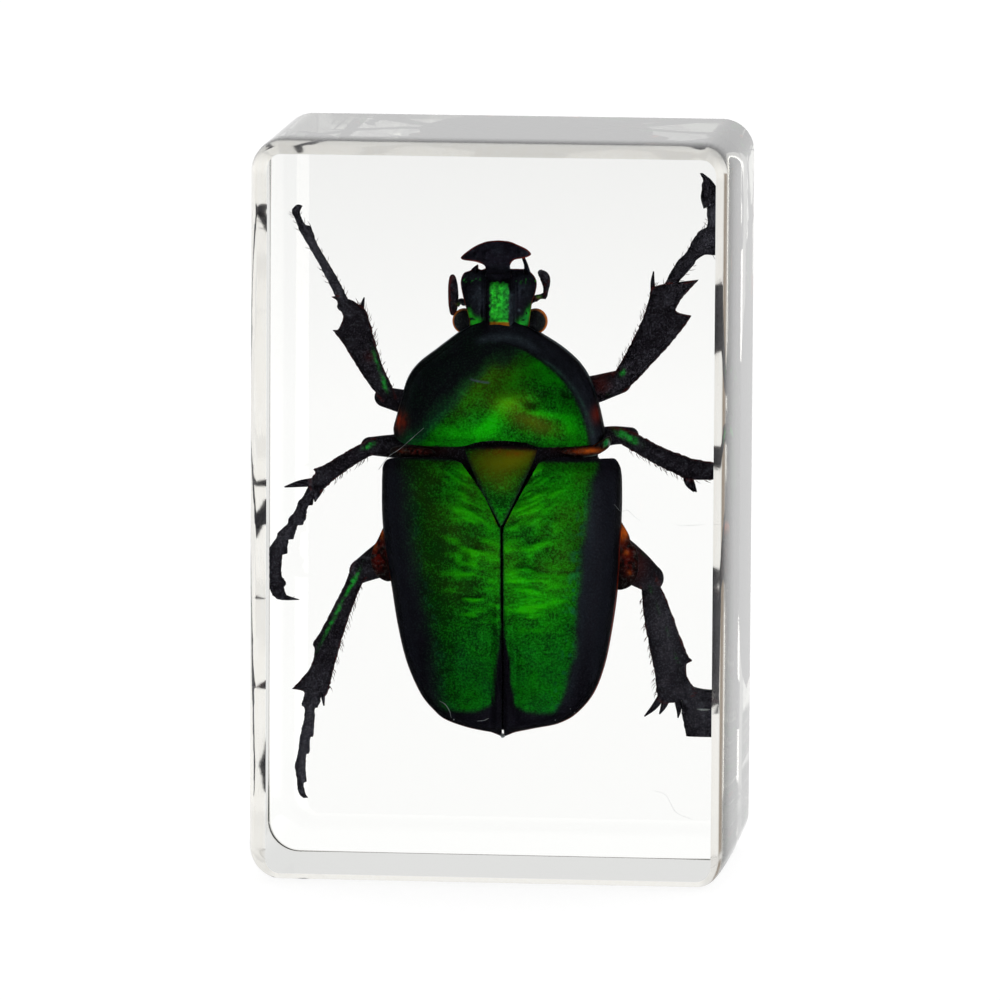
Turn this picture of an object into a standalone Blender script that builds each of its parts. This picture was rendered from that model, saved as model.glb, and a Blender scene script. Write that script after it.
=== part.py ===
"""A green chafer beetle set in a small block of clear resin that stands on its short end.

The block is modelled as two halves that meet at the level of the legs, with a pocket between
them that follows the beetle. The frame's origin is at the middle of the underside, +Z is up
and the beetle's back faces -Y. Every form is drawn and joined in millimetres, and the finished
pieces are brought to metres at the end.
"""

import math

import bmesh
import bpy
from mathutils import Matrix, Vector

MM = 0.001  # metres

# The block
BLOCK_WIDTH = 28.5
BLOCK_DEPTH = 17.0
BLOCK_HEIGHT = 44.0
CORNER_RADIUS = 1.9  # seen from the front
SIDE_ROUND = 1.05  # front edges at the left and right
END_ROUND = 0.55  # front edges at the top and bottom
BACK_ROUND = 0.45  # all back edges
CORNER_STEPS = 4
EDGE_STEPS = 3

# The parting and the pocket
LEG_LEVEL = 1.0  # y of the plane that the legs lie in
PARTING_GAP = 0.3
POCKET_GAP = 0.3  # from the beetle to the resin
ROOM_SWELL = 1.4  # of that gap, since a room's flats cut inside the curve that they follow
ROOM_STEP = 0.05  # keeps the walls of neighbouring rooms apart

# The beetle's trunk: (z, middle x, half width, height of the back, depth of the belly)
TRUNK_EDGE = -0.4  # y of the widest line
ABDOMEN = [
    (8.35, 0.45, 0.7, 0.5, 0.5),
    (8.75, 0.45, 2.6, 1.0, 1.2),
    (9.6, 0.6, 4.15, 1.6, 2.0),
    (11.0, 0.6, 5.25, 2.3, 2.7),
    (13.5, 0.52, 6.15, 3.1, 3.4),
    (17.0, 0.46, 6.72, 3.65, 3.9),
    (21.0, 0.3, 7.1, 3.65, 4.1),
    (24.2, 0.28, 7.05, 3.2, 3.8),
    (25.2, 0.3, 6.5, 2.75, 3.4),
]
WAIST = [
    (23.5, 0.2, 5.6, 2.4, 3.2),
    (25.5, 0.18, 5.5, 2.4, 3.0),
    (27.0, 0.15, 5.4, 2.4, 2.8),
]
PRONOTUM = [
    (25.75, 0.15, 5.7, 2.75, 2.4),
    (26.5, 0.1, 6.28, 2.95, 2.6),
    (27.8, 0.1, 6.0, 3.0, 2.7),
    (29.4, 0.1, 5.5, 2.75, 2.5),
    (31.0, 0.1, 4.35, 2.15, 2.1),
    (32.1, 0.08, 2.75, 1.55, 1.7),
    (32.85, 0.05, 1.5, 0.95, 1.3),
]
HEAD = [
    (31.9, 0.03, 1.5, 0.8, 1.4),
    (33.6, 0.02, 1.8, 1.05, 1.5),
    (35.0, 0.01, 2.2, 1.0, 1.2),
    (35.75, 0.0, 2.1, 0.8, 0.9),
    (36.1, 0.0, 1.6, 0.45, 0.5),
]
TRUNK = {  # stations, sides of the form and sides of the room around it
    "abdomen": (ABDOMEN, 20, 14),
    "waist": (WAIST, 16, 12),
    "pronotum": (PRONOTUM, 20, 14),
    "head": (HEAD, 14, 10),
}
BACK_POWER = 2.5  # above 2 flattens the middle of the back
BELLY_POWER = 2.1
SUTURE_WIDTH = 0.3
SUTURE_DEPTH = 0.22
SUTURE_LIP = 0.02
SCUTELLUM = [(-1.8, -3.3, 25.4), (2.45, -3.3, 25.4), (0.45, -4.25, 20.9)]
SCUTELLUM_BULGE = (0.35, -4.05, 23.9)
SCUTELLUM_ROOT = 1.5  # how far the plate reaches down into the back

# The head's parts
EYE_RADIUS = 0.72
EYE_PLACE = (2.05, -0.3, 32.9)
HORN_TIPS = ((-2.05, 36.72), (1.95, 37.02))
HORN_MIDDLE = -0.1
HORN_CROWN = 37.8
HORN_UNDER = ((1.05, 36.62), (-1.25, 36.42))
HORN_FULLNESS = 0.8  # below 1 squares the arc's shoulders
HORN_STEPS = 8
HORN_NECK = [(0.94, 35.4, -1.1, 0.2), (0.72, 36.9, -1.85, -1.3)]  # half width, z, front y, rear y
HORN_LEVEL = -1.6
HORN_THICKNESS = 0.6
HORN_ROOM = ((-1.1, 37.8), (0.9, 37.8), (-1.8, 36.0), (1.8, 36.0))
HORN_ROOM_DEPTH = 1.0  # behind the horn, down to the face's room
ANTENNAE = [
    {
        "stalk": [(-1.6, -0.1, 33.9), (-2.5, -0.2, 33.8)],
        "club": [(-2.7, -0.2, 33.4), (-2.72, -0.3, 35.5)],
    },
    {
        "stalk": [(1.7, -0.1, 33.9), (2.75, -0.2, 34.5)],
        "club": [(2.8, -0.2, 34.45), (2.55, -0.3, 35.9)],
    },
]
STALK_RADIUS = 0.17
CLUB_RADIUS = 0.32
CLUB_PROFILE = [(0.0, 0.55), (0.12, 1.0), (0.88, 1.0), (1.0, 0.5)]  # share of length, of radius
FACE_ROOM = [  # corners of the room around the eyes and antennae, on one side
    (3.45, -1.1, 32.0), (3.45, 0.6, 32.0), (3.45, -1.0, 36.2), (3.45, 0.4, 36.2),
    (2.1, -1.9, 36.3), (2.0, -1.8, 32.0), (2.0, 1.4, 32.0), (1.9, 1.0, 36.6),
]

# The legs. A femur is (x, y, z, radius) from under the trunk to the knee, a tibia is the
# outline of its flat blade (x, z), spurs are (x, z) pairs from root to tip, and a tarsus is
# the path (x, z) of its five joints. The last point carries the claws, whose tips follow.
TIBIA_THICKNESS = 0.55
TARSUS_RADIUS = 0.34
TARSUS_WAIST = 0.7  # of that radius, where each joint starts
TARSUS_SPAN = (0.06, 0.94)  # where each joint has its two rings
SPUR_RADIUS = 0.16
SPUR_PROFILE = [(0.0, 1.0), (0.6, 0.6), (1.0, 0.2)]
CLAW_RADIUS = 0.13
CLAW_PROFILE = [(-0.25, 1.0), (0.5, 0.8), (1.0, 0.3)]
KNEE_REACH = 0.8  # of the thigh's last radius
KNEE_TAPER = 0.6
LEGS = {
    "left_fore": {
        "femur": [(-2.2, 2.0, 26.6, 0.9), (-4.6, 1.3, 27.9, 0.95), (-6.7, LEG_LEVEL, 28.3, 0.55)],
        "tibia": [
            (-6.9, 28.0), (-10.0, 32.1), (-9.4, 32.4), (-9.4, 33.3), (-10.0, 34.2), (-8.9, 33.9),
            (-8.2, 33.6), (-6.5, 28.9),
        ],
        "spurs": [((-8.15, 33.2), (-8.0, 34.1))],
        "tarsus": [
            (-9.2, 33.6), (-9.55, 34.8), (-10.05, 35.9), (-10.55, 37.0), (-11.0, 37.9), (-11.75, 39.1),
        ],
        "claws": [(-11.7, 39.65), (-12.1, 39.6)],
    },
    "right_fore": {
        "femur": [(2.4, 2.0, 27.0, 0.9), (4.8, 1.3, 28.7, 0.95), (6.9, LEG_LEVEL, 29.2, 0.75)],
        "tibia": [
            (7.3, 28.8), (10.3, 31.8), (11.4, 33.35), (10.5, 33.6), (10.55, 34.1), (11.8, 35.5),
            (10.7, 35.2), (9.0, 35.1), (6.9, 30.2),
        ],
        "spurs": [((9.05, 34.8), (9.1, 35.9))],
        "tarsus": [
            (10.2, 34.8), (10.9, 36.0), (11.65, 37.0), (12.7, 37.9), (13.15, 39.1), (12.45, 40.6),
        ],
        "claws": [(11.8, 41.8), (12.1, 41.85)],
    },
    "left_mid": {
        "femur": [(-2.4, 2.9, 24.0, 0.9), (-5.0, 1.7, 25.2, 0.85), (-7.6, LEG_LEVEL, 25.2, 0.5)],
        "tibia": [(-7.7, 25.7), (-11.0, 23.8), (-11.15, 23.0), (-10.5, 22.4), (-7.8, 24.6)],
        "spurs": [((-10.7, 23.3), (-12.8, 22.7)), ((-10.7, 22.8), (-10.95, 21.8))],
        "tarsus": [
            (-10.75, 23.2), (-11.6, 21.9), (-12.15, 20.7), (-12.75, 19.5), (-13.1, 18.5), (-13.1, 16.6),
        ],
        "claws": [(-12.3, 16.0), (-11.95, 16.05)],
    },
    "right_mid": {
        "femur": [(2.8, 2.9, 24.3, 0.9), (5.2, 1.7, 25.7, 0.85), (7.5, LEG_LEVEL, 26.1, 0.5)],
        "tibia": [
            (7.8, 26.45), (9.7, 25.5), (11.7, 24.75), (12.7, 24.6), (12.7, 23.7), (11.2, 23.6),
            (9.6, 24.3), (7.4, 25.7),
        ],
        "spurs": [((11.5, 23.9), (11.75, 22.8))],
        "tarsus": [
            (12.4, 24.15), (13.1, 23.8), (13.25, 22.7), (13.25, 21.6), (13.25, 20.5), (13.2, 19.4),
        ],
        "claws": [(13.05, 18.7), (13.35, 18.7)],
    },
    "left_hind": {
        "femur": [(-2.0, 3.0, 20.2, 1.2), (-5.2, 1.9, 19.2, 1.5), (-8.2, LEG_LEVEL, 17.8, 0.72)],
        "tibia": [
            (-8.8, 18.2), (-11.05, 13.5), (-11.0, 12.8), (-12.3, 10.6), (-11.3, 10.45),
            (-10.2, 10.5), (-8.0, 17.0),
        ],
        "spurs": [((-11.2, 10.9), (-11.6, 9.7)), ((-10.5, 10.9), (-10.4, 9.6))],
        "tarsus": [
            (-11.0, 10.6), (-11.2, 9.3), (-11.3, 8.0), (-11.5, 6.9), (-11.7, 5.9), (-11.75, 4.7),
        ],
        "claws": [(-11.4, 4.05), (-11.65, 4.0)],
    },
    "right_hind": {
        "femur": [(2.6, 3.0, 20.4, 1.2), (5.7, 1.9, 19.5, 1.6), (8.9, LEG_LEVEL, 17.5, 0.75)],
        "tibia": [
            (9.45, 17.4), (11.5, 12.75), (11.2, 12.4), (11.75, 10.95), (10.7, 10.3), (9.6, 10.2),
            (8.5, 16.7),
        ],
        "spurs": [
            ((9.8, 10.6), (8.75, 9.35)), ((10.1, 10.5), (9.65, 9.3)), ((10.7, 10.6), (10.65, 9.2)),
        ],
        "tarsus": [(11.1, 10.6), (12.0, 10.2), (12.9, 9.95), (13.25, 9.2), (12.8, 8.65), (12.1, 8.6)],
        "claws": [(11.45, 8.35), (11.5, 8.75)],
    },
}

SHARP_ANGLE = math.radians(35)

# Colours are (linear red, green, blue), roughness, metallic and alpha
RESIN = ((0.93, 0.95, 0.94), 0.03, 0.0, 0.3)
CUTICLE = ((0.006, 0.16, 0.008), 0.28, 0.55, 1.0)


def clear_scene():
    for thing in list(bpy.data.objects):
        bpy.data.objects.remove(thing, do_unlink=True)


def make_material(name, colour, roughness, metallic, alpha):
    material = bpy.data.materials.new(name)
    material.use_nodes = True
    shader = material.node_tree.nodes["Principled BSDF"]
    shader.inputs["Base Color"].default_value = (*colour, 1.0)
    shader.inputs["Roughness"].default_value = roughness
    shader.inputs["Metallic"].default_value = metallic
    shader.inputs["Alpha"].default_value = alpha
    material.diffuse_color = (*colour, alpha)
    return material


def add_guide(name, mesh):
    """A form that only helps to make others."""
    guide = bpy.data.objects.new(name, mesh)
    bpy.context.scene.collection.objects.link(guide)
    guide.hide_render = True
    guide.display_type = "WIRE"
    return guide


def close_up(form, name):
    """Triangulates a closed form, turns its faces outwards and returns it as a guide."""
    form.normal_update()
    bmesh.ops.triangulate(form, faces=form.faces)
    bmesh.ops.recalc_face_normals(form, faces=form.faces)
    mesh = bpy.data.meshes.new(name)
    form.to_mesh(mesh)
    form.free()
    return add_guide(name, mesh)


def skin(name, rings):
    """A closed skin over rings of as many points each."""
    form = bmesh.new()
    loops = [[form.verts.new(point) for point in ring] for ring in rings]
    for before, after in zip(loops, loops[1:]):
        for i in range(len(before)):
            j = (i + 1) % len(before)
            form.faces.new((before[i], before[j], after[j], after[i]))
    form.faces.new(loops[0])
    form.faces.new(loops[-1])
    return close_up(form, name)


def hull(name, points):
    """The convex form around points."""
    form = bmesh.new()
    for point in points:
        form.verts.new(point)
    made = bmesh.ops.convex_hull(form, input=form.verts)
    inner = {item for item in made["geom_interior"] if isinstance(item, bmesh.types.BMVert)}
    bmesh.ops.delete(form, geom=list(inner), context="VERTS")
    return close_up(form, name)


def plate(name, outline, middle, thickness):
    """A flat piece with the outline (x, z), its mid-plane at y = middle."""
    half = thickness / 2
    rings = [[(x, y, z) for x, z in outline] for y in (middle - half, middle + half)]
    return skin(name, rings)


def tube(name, path, radii, sides=6):
    """A tapering rod along points, with one radius for each point."""
    path = [Vector(point) for point in path]
    rings = []
    for i, (point, radius) in enumerate(zip(path, radii)):
        along = (path[min(i + 1, len(path) - 1)] - path[max(i - 1, 0)]).normalized()
        across = along.cross(Vector((0, 1, 0))).normalized()
        deep = along.cross(across)
        turns = [2 * math.pi * (k + 0.5) / sides for k in range(sides)]
        rings.append([point + (across * math.cos(t) + deep * math.sin(t)) * radius for t in turns])
    return skin(name, rings)


def power_wave(value, power):
    return math.copysign(abs(value) ** (2 / power), value)


def trunk_ring(station, sides, grow=0.0, suture=False):
    """One cross-section of the trunk: flat-backed above its widest line, rounder below."""
    z, middle, half, back, belly = station
    ring = []
    for k in range(sides):
        turn = 2 * math.pi * k / sides
        side, rise = math.cos(turn), math.sin(turn)
        power, height = (BACK_POWER, back) if rise > 0 else (BELLY_POWER, belly)
        x = middle + (half + grow) * power_wave(side, power)
        y = TRUNK_EDGE - (height + grow) * power_wave(rise, power)
        if suture and abs(side) < 0.01 and rise > 0:
            lip, half_gap = y + SUTURE_LIP, SUTURE_WIDTH / 2
            ring += [(x + half_gap, lip, z), (x, y + SUTURE_DEPTH, z), (x - half_gap, lip, z)]
        else:
            ring.append((x, y, z))
    return ring


def trunk_skin(name, stations, sides, grow=0.0, suture=False):
    """A length of the trunk. A grown one is also longer by as much at both ends."""
    ends = len(stations) // 3
    rings = []
    for i, station in enumerate(stations):
        shift = grow * ((i >= len(stations) - ends) - (i < ends))
        rings.append([(x, y, z + shift) for x, y, z in trunk_ring(station, sides, grow, suture)])
    return skin(name, rings)


def eye(side):
    form = bmesh.new()
    bmesh.ops.create_icosphere(form, subdivisions=2, radius=EYE_RADIUS)
    x, y, z = EYE_PLACE
    bmesh.ops.translate(form, verts=form.verts, vec=(side * x, y, z))
    return close_up(form, "eye")


def horn_outline():
    """The crescent at the end of the head: an arc over the crown and a shallow lower edge."""
    (left, left_z), (right, right_z) = HORN_TIPS
    top = HORN_CROWN - (left_z + right_z) / 2
    arc = []
    for i in range(HORN_STEPS + 1):
        share = i / HORN_STEPS
        lift = math.sin(math.pi * share) ** HORN_FULLNESS
        base = left_z + (right_z - left_z) * share
        arc.append((left + (right - left) * share, base + top * lift))
    return [*arc, *HORN_UNDER]


def horn():
    neck = [
        (HORN_MIDDLE + side * half, y, z)
        for half, z, *levels in HORN_NECK
        for side in (-1, 1)
        for y in levels
    ]
    return [plate("horn", horn_outline(), HORN_LEVEL, HORN_THICKNESS), hull("horn_neck", neck)]


def spike(name, root, tip, radius, profile, sides):
    """A rod whose profile gives the share of its length and of its radius at each ring."""
    start, end = Vector(root), Vector(tip)
    path = [start.lerp(end, share) for share, _ in profile]
    return tube(name, path, [radius * size for _, size in profile], sides)


def antenna(parts):
    stalk = tube("stalk", parts["stalk"], [STALK_RADIUS] * 2, sides=5)
    return [stalk, spike("club", *parts["club"], CLUB_RADIUS, CLUB_PROFILE, sides=6)]


def on_level(point):
    """A point of the plane that the legs lie in."""
    x, z = point
    return Vector((x, LEG_LEVEL, z))


def femur_path(leg, grow=0.0):
    """The thigh's points and radii, carried on past the knee so that the blade grows out of it."""
    points = [Vector(station[:3]) for station in leg["femur"]]
    radii = [station[3] + grow for station in leg["femur"]]
    past = (points[-1] - points[-2]).normalized() * radii[-1] * KNEE_REACH
    points[0] -= (points[1] - points[0]).normalized() * grow
    return [*points, points[-1] + past], [*radii, radii[-1] * KNEE_TAPER + grow]


def femur(leg):
    return tube("femur", *femur_path(leg), sides=8)


def tarsus(leg):
    """Five joints, each one narrow where it starts and flared where it ends."""
    path, radii = [], []
    points = [on_level(point) for point in leg["tarsus"]]
    for start, end in zip(points, points[1:]):
        path += [start.lerp(end, share) for share in TARSUS_SPAN]
        radii += [TARSUS_RADIUS * TARSUS_WAIST, TARSUS_RADIUS]
    return tube("tarsus", path, radii, sides=5)


def leg_pieces(leg):
    pieces = [femur(leg), plate("tibia", leg["tibia"], LEG_LEVEL, TIBIA_THICKNESS), tarsus(leg)]
    for root, tip in leg["spurs"]:
        pieces.append(spike("spur", on_level(root), on_level(tip), SPUR_RADIUS, SPUR_PROFILE, 4))
    foot = on_level(leg["tarsus"][-1])
    for tip in leg["claws"]:
        pieces.append(spike("claw", foot, on_level(tip), CLAW_RADIUS, CLAW_PROFILE, 4))
    return pieces


def swollen(points, reach):
    """Points around each point, so that their hull stands clear of the hull of the points."""
    axes = (Vector((reach, 0, 0)), Vector((0, reach, 0)), Vector((0, 0, reach)))
    return [Vector(point) + axis * side for point in points for axis in axes for side in (-1, 1)]


def channel(name, points, reach, low, high):
    """A straight-sided cut around points (x, z), reach wider all round, from y = low to high."""
    turns = [math.pi * (k + 0.5) / 3 for k in range(6)]
    around = [(x + math.cos(t) * reach, z + math.sin(t) * reach) for x, z in points for t in turns]
    return hull(name, [(x, y, z) for x, z in around for y in (low, high)])


def leg_channels(leg):
    """The room that the pocket leaves around one leg: its thigh, its blade and its foot."""
    points, radii = femur_path(leg, POCKET_GAP)
    rooms = [tube("thigh_room", points, [radius / math.cos(math.pi / 6) for radius in radii])]
    blade = leg["tibia"] + [tip for _, tip in leg["spurs"]]
    foot = leg["tarsus"]
    parts = {
        "blade_room": (blade, POCKET_GAP),
        "heel_room": (foot[:3], TARSUS_RADIUS + POCKET_GAP),
        "toe_room": (foot[2:] + leg["claws"], TARSUS_RADIUS + POCKET_GAP),
    }
    for i, (name, (points, reach)) in enumerate(parts.items()):
        half = TIBIA_THICKNESS / 2 + POCKET_GAP + ROOM_STEP * i
        rooms.append(channel(name, points, reach, LEG_LEVEL - half, LEG_LEVEL + half))
    return rooms


def combine(name, first, others, operation):
    """The closed solid that a union or a difference leaves. The pieces that went in are removed."""
    group = bpy.data.collections.new(name + "_pieces")
    bpy.context.scene.collection.children.link(group)
    for piece in others:
        group.objects.link(piece)
    step = first.modifiers.new(operation.lower(), "BOOLEAN")
    step.operation = operation
    step.solver = "EXACT"
    step.operand_type = "COLLECTION"
    step.collection = group
    seen = bpy.context.evaluated_depsgraph_get()
    mesh = bpy.data.meshes.new_from_object(first.evaluated_get(seen))
    for piece in (first, *others):
        bpy.data.objects.remove(piece, do_unlink=True)
    bpy.data.collections.remove(group)
    return add_guide(name, mesh)


def finish(name, guide, material):
    """Makes a guide the real piece: in metres, shaded smooth between its sharp edges."""
    mesh = guide.data.copy()
    bpy.data.objects.remove(guide, do_unlink=True)
    mesh.transform(Matrix.Scale(MM, 4))
    mesh.name = name
    mesh.materials.clear()
    mesh.materials.append(material)
    mesh.shade_smooth()
    mesh.set_sharp_from_angle(angle=SHARP_ANGLE)
    piece = bpy.data.objects.new(name, mesh)
    bpy.context.scene.collection.objects.link(piece)
    return piece


def make_beetle(material):
    root = [(x, y + SCUTELLUM_ROOT, z) for x, y, z in SCUTELLUM]
    pieces = [
        trunk_skin(name, stations, sides, suture=name == "abdomen")
        for name, (stations, sides, _) in TRUNK.items()
    ]
    pieces += [hull("scutellum", [*SCUTELLUM, SCUTELLUM_BULGE, *root]), eye(-1), eye(1), *horn()]
    for parts in ANTENNAE:
        pieces += antenna(parts)
    for leg in LEGS.values():
        pieces += leg_pieces(leg)
    return finish("beetle", combine("beetle_form", pieces[0], pieces[1:], "UNION"), material)


def make_pocket():
    """The hollow around the beetle, which both halves are cut with."""
    grow = POCKET_GAP * ROOM_SWELL
    face = [(side * x, y, z) for x, y, z in FACE_ROOM for side in (-1, 1)]
    crest = [*HORN_TIPS, *HORN_ROOM]
    level = HORN_THICKNESS / 2 + POCKET_GAP
    low, high = HORN_LEVEL - level, HORN_LEVEL + level + HORN_ROOM_DEPTH
    pieces = [
        trunk_skin(name + "_room", stations, sides, grow)
        for name, (stations, _, sides) in TRUNK.items()
    ]
    pieces += [
        hull("face_room", face),
        channel("horn_room", crest, POCKET_GAP, low, high),
        hull("scutellum_room", swollen([*SCUTELLUM, SCUTELLUM_BULGE], grow)),
    ]
    for leg in LEGS.values():
        pieces += leg_channels(leg)
    return combine("pocket", pieces[0], pieces[1:], "UNION")


def block_ring(y, side_inset, end_inset):
    """The block's outline at one depth: a rectangle with rounded corners."""
    radius = CORNER_RADIUS - min(side_inset, end_inset)
    right = BLOCK_WIDTH / 2 - side_inset - radius
    low, high = end_inset + radius, BLOCK_HEIGHT - end_inset - radius
    centres = ((right, high), (-right, high), (-right, low), (right, low))
    ring = []
    for quarter, (x, z) in enumerate(centres):
        for step in range(CORNER_STEPS + 1):
            turn = math.pi / 2 * (quarter + step / CORNER_STEPS)
            ring.append((x + radius * math.cos(turn), y, z + radius * math.sin(turn)))
    return ring


def rounded_rings(face, inwards, side_round, end_round, depth_round):
    """Rings that round the block's edge off towards the face at y = face."""
    rings = []
    for step in range(EDGE_STEPS + 1):
        turn = math.pi / 2 * step / EDGE_STEPS
        left = 1 - math.sin(turn)
        y = face + inwards * depth_round * (1 - math.cos(turn))
        rings.append(block_ring(y, side_round * left, end_round * left))
    return rings


def make_half(name, rings, pocket, material):
    cutter = add_guide("cutter", pocket.data)
    form = combine(name + "_form", skin(name + "_skin", rings), [cutter], "DIFFERENCE")
    return finish(name, form, material)


def make_block(pocket, material):
    front, back = -BLOCK_DEPTH / 2, BLOCK_DEPTH / 2
    near, far = LEG_LEVEL - PARTING_GAP / 2, LEG_LEVEL + PARTING_GAP / 2
    front_rings = rounded_rings(front, 1, SIDE_ROUND, END_ROUND, SIDE_ROUND)
    back_rings = rounded_rings(back, -1, BACK_ROUND, BACK_ROUND, BACK_ROUND)
    make_half("resin_front", [*front_rings, block_ring(near, 0, 0)], pocket, material)
    make_half("resin_back", [*back_rings, block_ring(far, 0, 0)], pocket, material)
    bpy.data.objects.remove(pocket, do_unlink=True)


def main():
    clear_scene()
    make_beetle(make_material("cuticle", *CUTICLE))
    make_block(make_pocket(), make_material("resin", *RESIN))


main()
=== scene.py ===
# A green chafer beetle cast in a small block of clear resin that stands on its short end.
# All shapes are drawn in millimetres on the frame's own axes: x to the right, z up, and the
# beetle's back towards -y. meshFrom brings them to metres.
import math
from functools import partial

import bpy
import numpy as np
from mathutils import Matrix, Vector


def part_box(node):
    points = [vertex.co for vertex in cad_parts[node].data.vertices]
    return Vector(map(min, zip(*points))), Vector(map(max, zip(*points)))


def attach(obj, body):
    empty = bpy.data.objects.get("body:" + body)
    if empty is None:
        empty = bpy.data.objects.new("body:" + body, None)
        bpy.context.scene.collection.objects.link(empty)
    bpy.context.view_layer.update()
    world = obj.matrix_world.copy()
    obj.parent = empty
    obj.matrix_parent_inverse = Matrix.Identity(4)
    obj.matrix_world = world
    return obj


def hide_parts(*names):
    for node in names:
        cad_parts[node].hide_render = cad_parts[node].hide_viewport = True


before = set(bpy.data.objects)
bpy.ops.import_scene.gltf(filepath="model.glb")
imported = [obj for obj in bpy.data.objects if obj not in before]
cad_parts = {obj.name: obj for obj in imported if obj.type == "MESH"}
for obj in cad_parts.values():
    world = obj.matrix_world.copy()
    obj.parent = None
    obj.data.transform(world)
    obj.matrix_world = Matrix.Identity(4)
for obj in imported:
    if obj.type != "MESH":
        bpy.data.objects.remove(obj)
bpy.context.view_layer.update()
mm = 0.001  # metres
castings = np.array([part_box(node) for node in ("resin_front", "resin_back")]) / mm
blockLow, blockHigh = castings[:, 0].min(axis=0), castings[:, 1].max(axis=0)


# a number that glides through a table of knots without overshooting
def glide(where, table):
    table = np.asarray(table, float)
    knots, values = table[:, 0], table[:, 1]
    gaps = np.diff(knots)
    slopes = np.diff(values) / gaps
    product = slopes[:-1] * slopes[1:]
    total = slopes[:-1] + slopes[1:]
    inner = np.where(product > 0, 2 * product / np.where(total == 0, 1, total), 0)
    tilts = np.concatenate([slopes[:1], inner, slopes[-1:]])
    where = np.clip(np.asarray(where, float), knots[0], knots[-1])
    i = np.clip(np.searchsorted(knots, where) - 1, 0, len(gaps) - 1)
    t = (where - knots[i]) / gaps[i]
    bow = (tilts[i] * gaps[i] * (t - 1) + tilts[i + 1] * gaps[i] * t) * t * (t - 1)
    return values[i] + (values[i + 1] - values[i]) * t * t * (3 - 2 * t) + bow


# evenly spaced points on a line; a closed one leaves out the last, which is the first again
def evenly(line, count, closed=False):
    length = np.concatenate([[0], np.cumsum(np.linalg.norm(np.diff(line, axis=0), axis=1))])
    places = np.linspace(0, length[-1], count, endpoint=not closed)
    return np.stack([np.interp(places, length, part) for part in line.T], -1)


# evenly spaced points on a smooth line, where a point given twice keeps a sharp corner
def smoothLine(points, count, closed=False):
    points = np.asarray(points, float)
    corners = [i for i in range(1, len(points) - 1) if np.allclose(points[i], points[i - 1])]
    t = np.linspace(0, 1, 13)[:, None]
    dense = []
    for start, end in zip([0, *corners], [*corners, len(points)]):
        run = points[start:end]
        if len(run) < 2:
            continue
        run = np.concatenate([2 * run[:1] - run[1:2], run, 2 * run[-1:] - run[-2:-1]])
        for a, b, c, d in zip(run, run[1:], run[2:], run[3:]):
            bend = 2 * b + (c - a) * t + (2 * a - 5 * b + 4 * c - d) * t**2 + (3 * b - a - 3 * c + d) * t**3
            dense.append(bend / 2)
    dense = np.concatenate(dense)
    moved = np.linalg.norm(np.diff(dense, axis=0), axis=1) > 1e-9
    return evenly(dense[np.concatenate([[True], moved])], count, closed)


# smooth seeded unevenness from -1 to 1, with humps about one size across
def humps(points, size, seed):
    place = np.asarray(points, float) / size + seed * 7.13
    cell = np.floor(place).astype(np.int64)
    part = place - cell
    part = part * part * (3 - 2 * part)
    total = np.zeros(place.shape[:-1])
    for corner in np.ndindex(2, 2, 2):
        weight = np.prod(np.where(corner, part, 1 - part), axis=-1)
        # large primes scatter the cells, and 2 ** 31 brings them to between -1 and 1
        code = (cell + corner) @ np.array([73856093, 19349663, 83492791])
        code = (code ^ (code >> 15)) * 2654435761 % 2**32
        code = (code ^ (code >> 13)) * 2246822519 % 2**32
        total += weight * (code / 2**31 - 1)
    return total


def inPlane(x, z, third=0.0):
    # places for humps that are the same at every depth
    return np.stack([x, z, x * 0 + third], -1)


def step(value, low, high):
    # 0 below low, 1 above high and a soft rise between them
    t = np.clip((np.asarray(value, float) - low) / (high - low), 0, 1)
    return t * t * (3 - 2 * t)


def mottle(points, size, seed, low, high):
    # blots, 1 inside and 0 outside
    return step(humps(points, size, seed), low, high)


def band(value, middle, width):
    # 1 at the middle of a band, fading softly to both sides
    return np.exp(-((value - middle) / width) ** 2)


# a soft patch, 1 in its middle, turned by some degrees
def spot(x, z, middle, reach, turn=0.0):
    turn = math.radians(turn)
    along = (x - middle[0]) * math.cos(turn) + (z - middle[1]) * math.sin(turn)
    over = (z - middle[1]) * math.cos(turn) - (x - middle[0]) * math.sin(turn)
    return np.exp(-((along / reach[0]) ** 2) - (over / reach[1]) ** 2)


def patches(x, z, table):
    # sum of soft patches, each (middle, reach, turn, amount)
    return sum((amount * spot(x, z, middle, reach, turn) for middle, reach, turn, amount in table), x * 0.0)


def gapTo(x, z, line):
    # how far points lie from a line (x, z), seen from the front
    return np.min([np.hypot(x - lineX, z - lineZ) for lineX, lineZ in line], axis=0)


# a closed skin over rings of points, with one more point in the middle of each end
def wrap(rings):
    rings = np.asarray(rings, float)
    ends = [ring.mean(axis=0)[None] for ring in (rings[0], rings[-1])]
    points = np.concatenate([ends[0], rings.reshape(-1, 3), ends[1]])
    count, last = rings.shape[1], len(points) - 1
    i = np.arange(count)
    j = (i + 1) % count
    start = 1 + count * np.arange(len(rings) - 1)[:, None]
    first = np.stack([i * 0, 1 + j, 1 + i], -1)
    final = np.stack([i * 0 + last, last - count + i, last - count + j], -1)
    quads = np.stack([start + i, start + j, start + count + j, start + count + i], -1)
    return points, first.tolist() + final.tolist() + quads.reshape(-1, 4).tolist()


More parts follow.
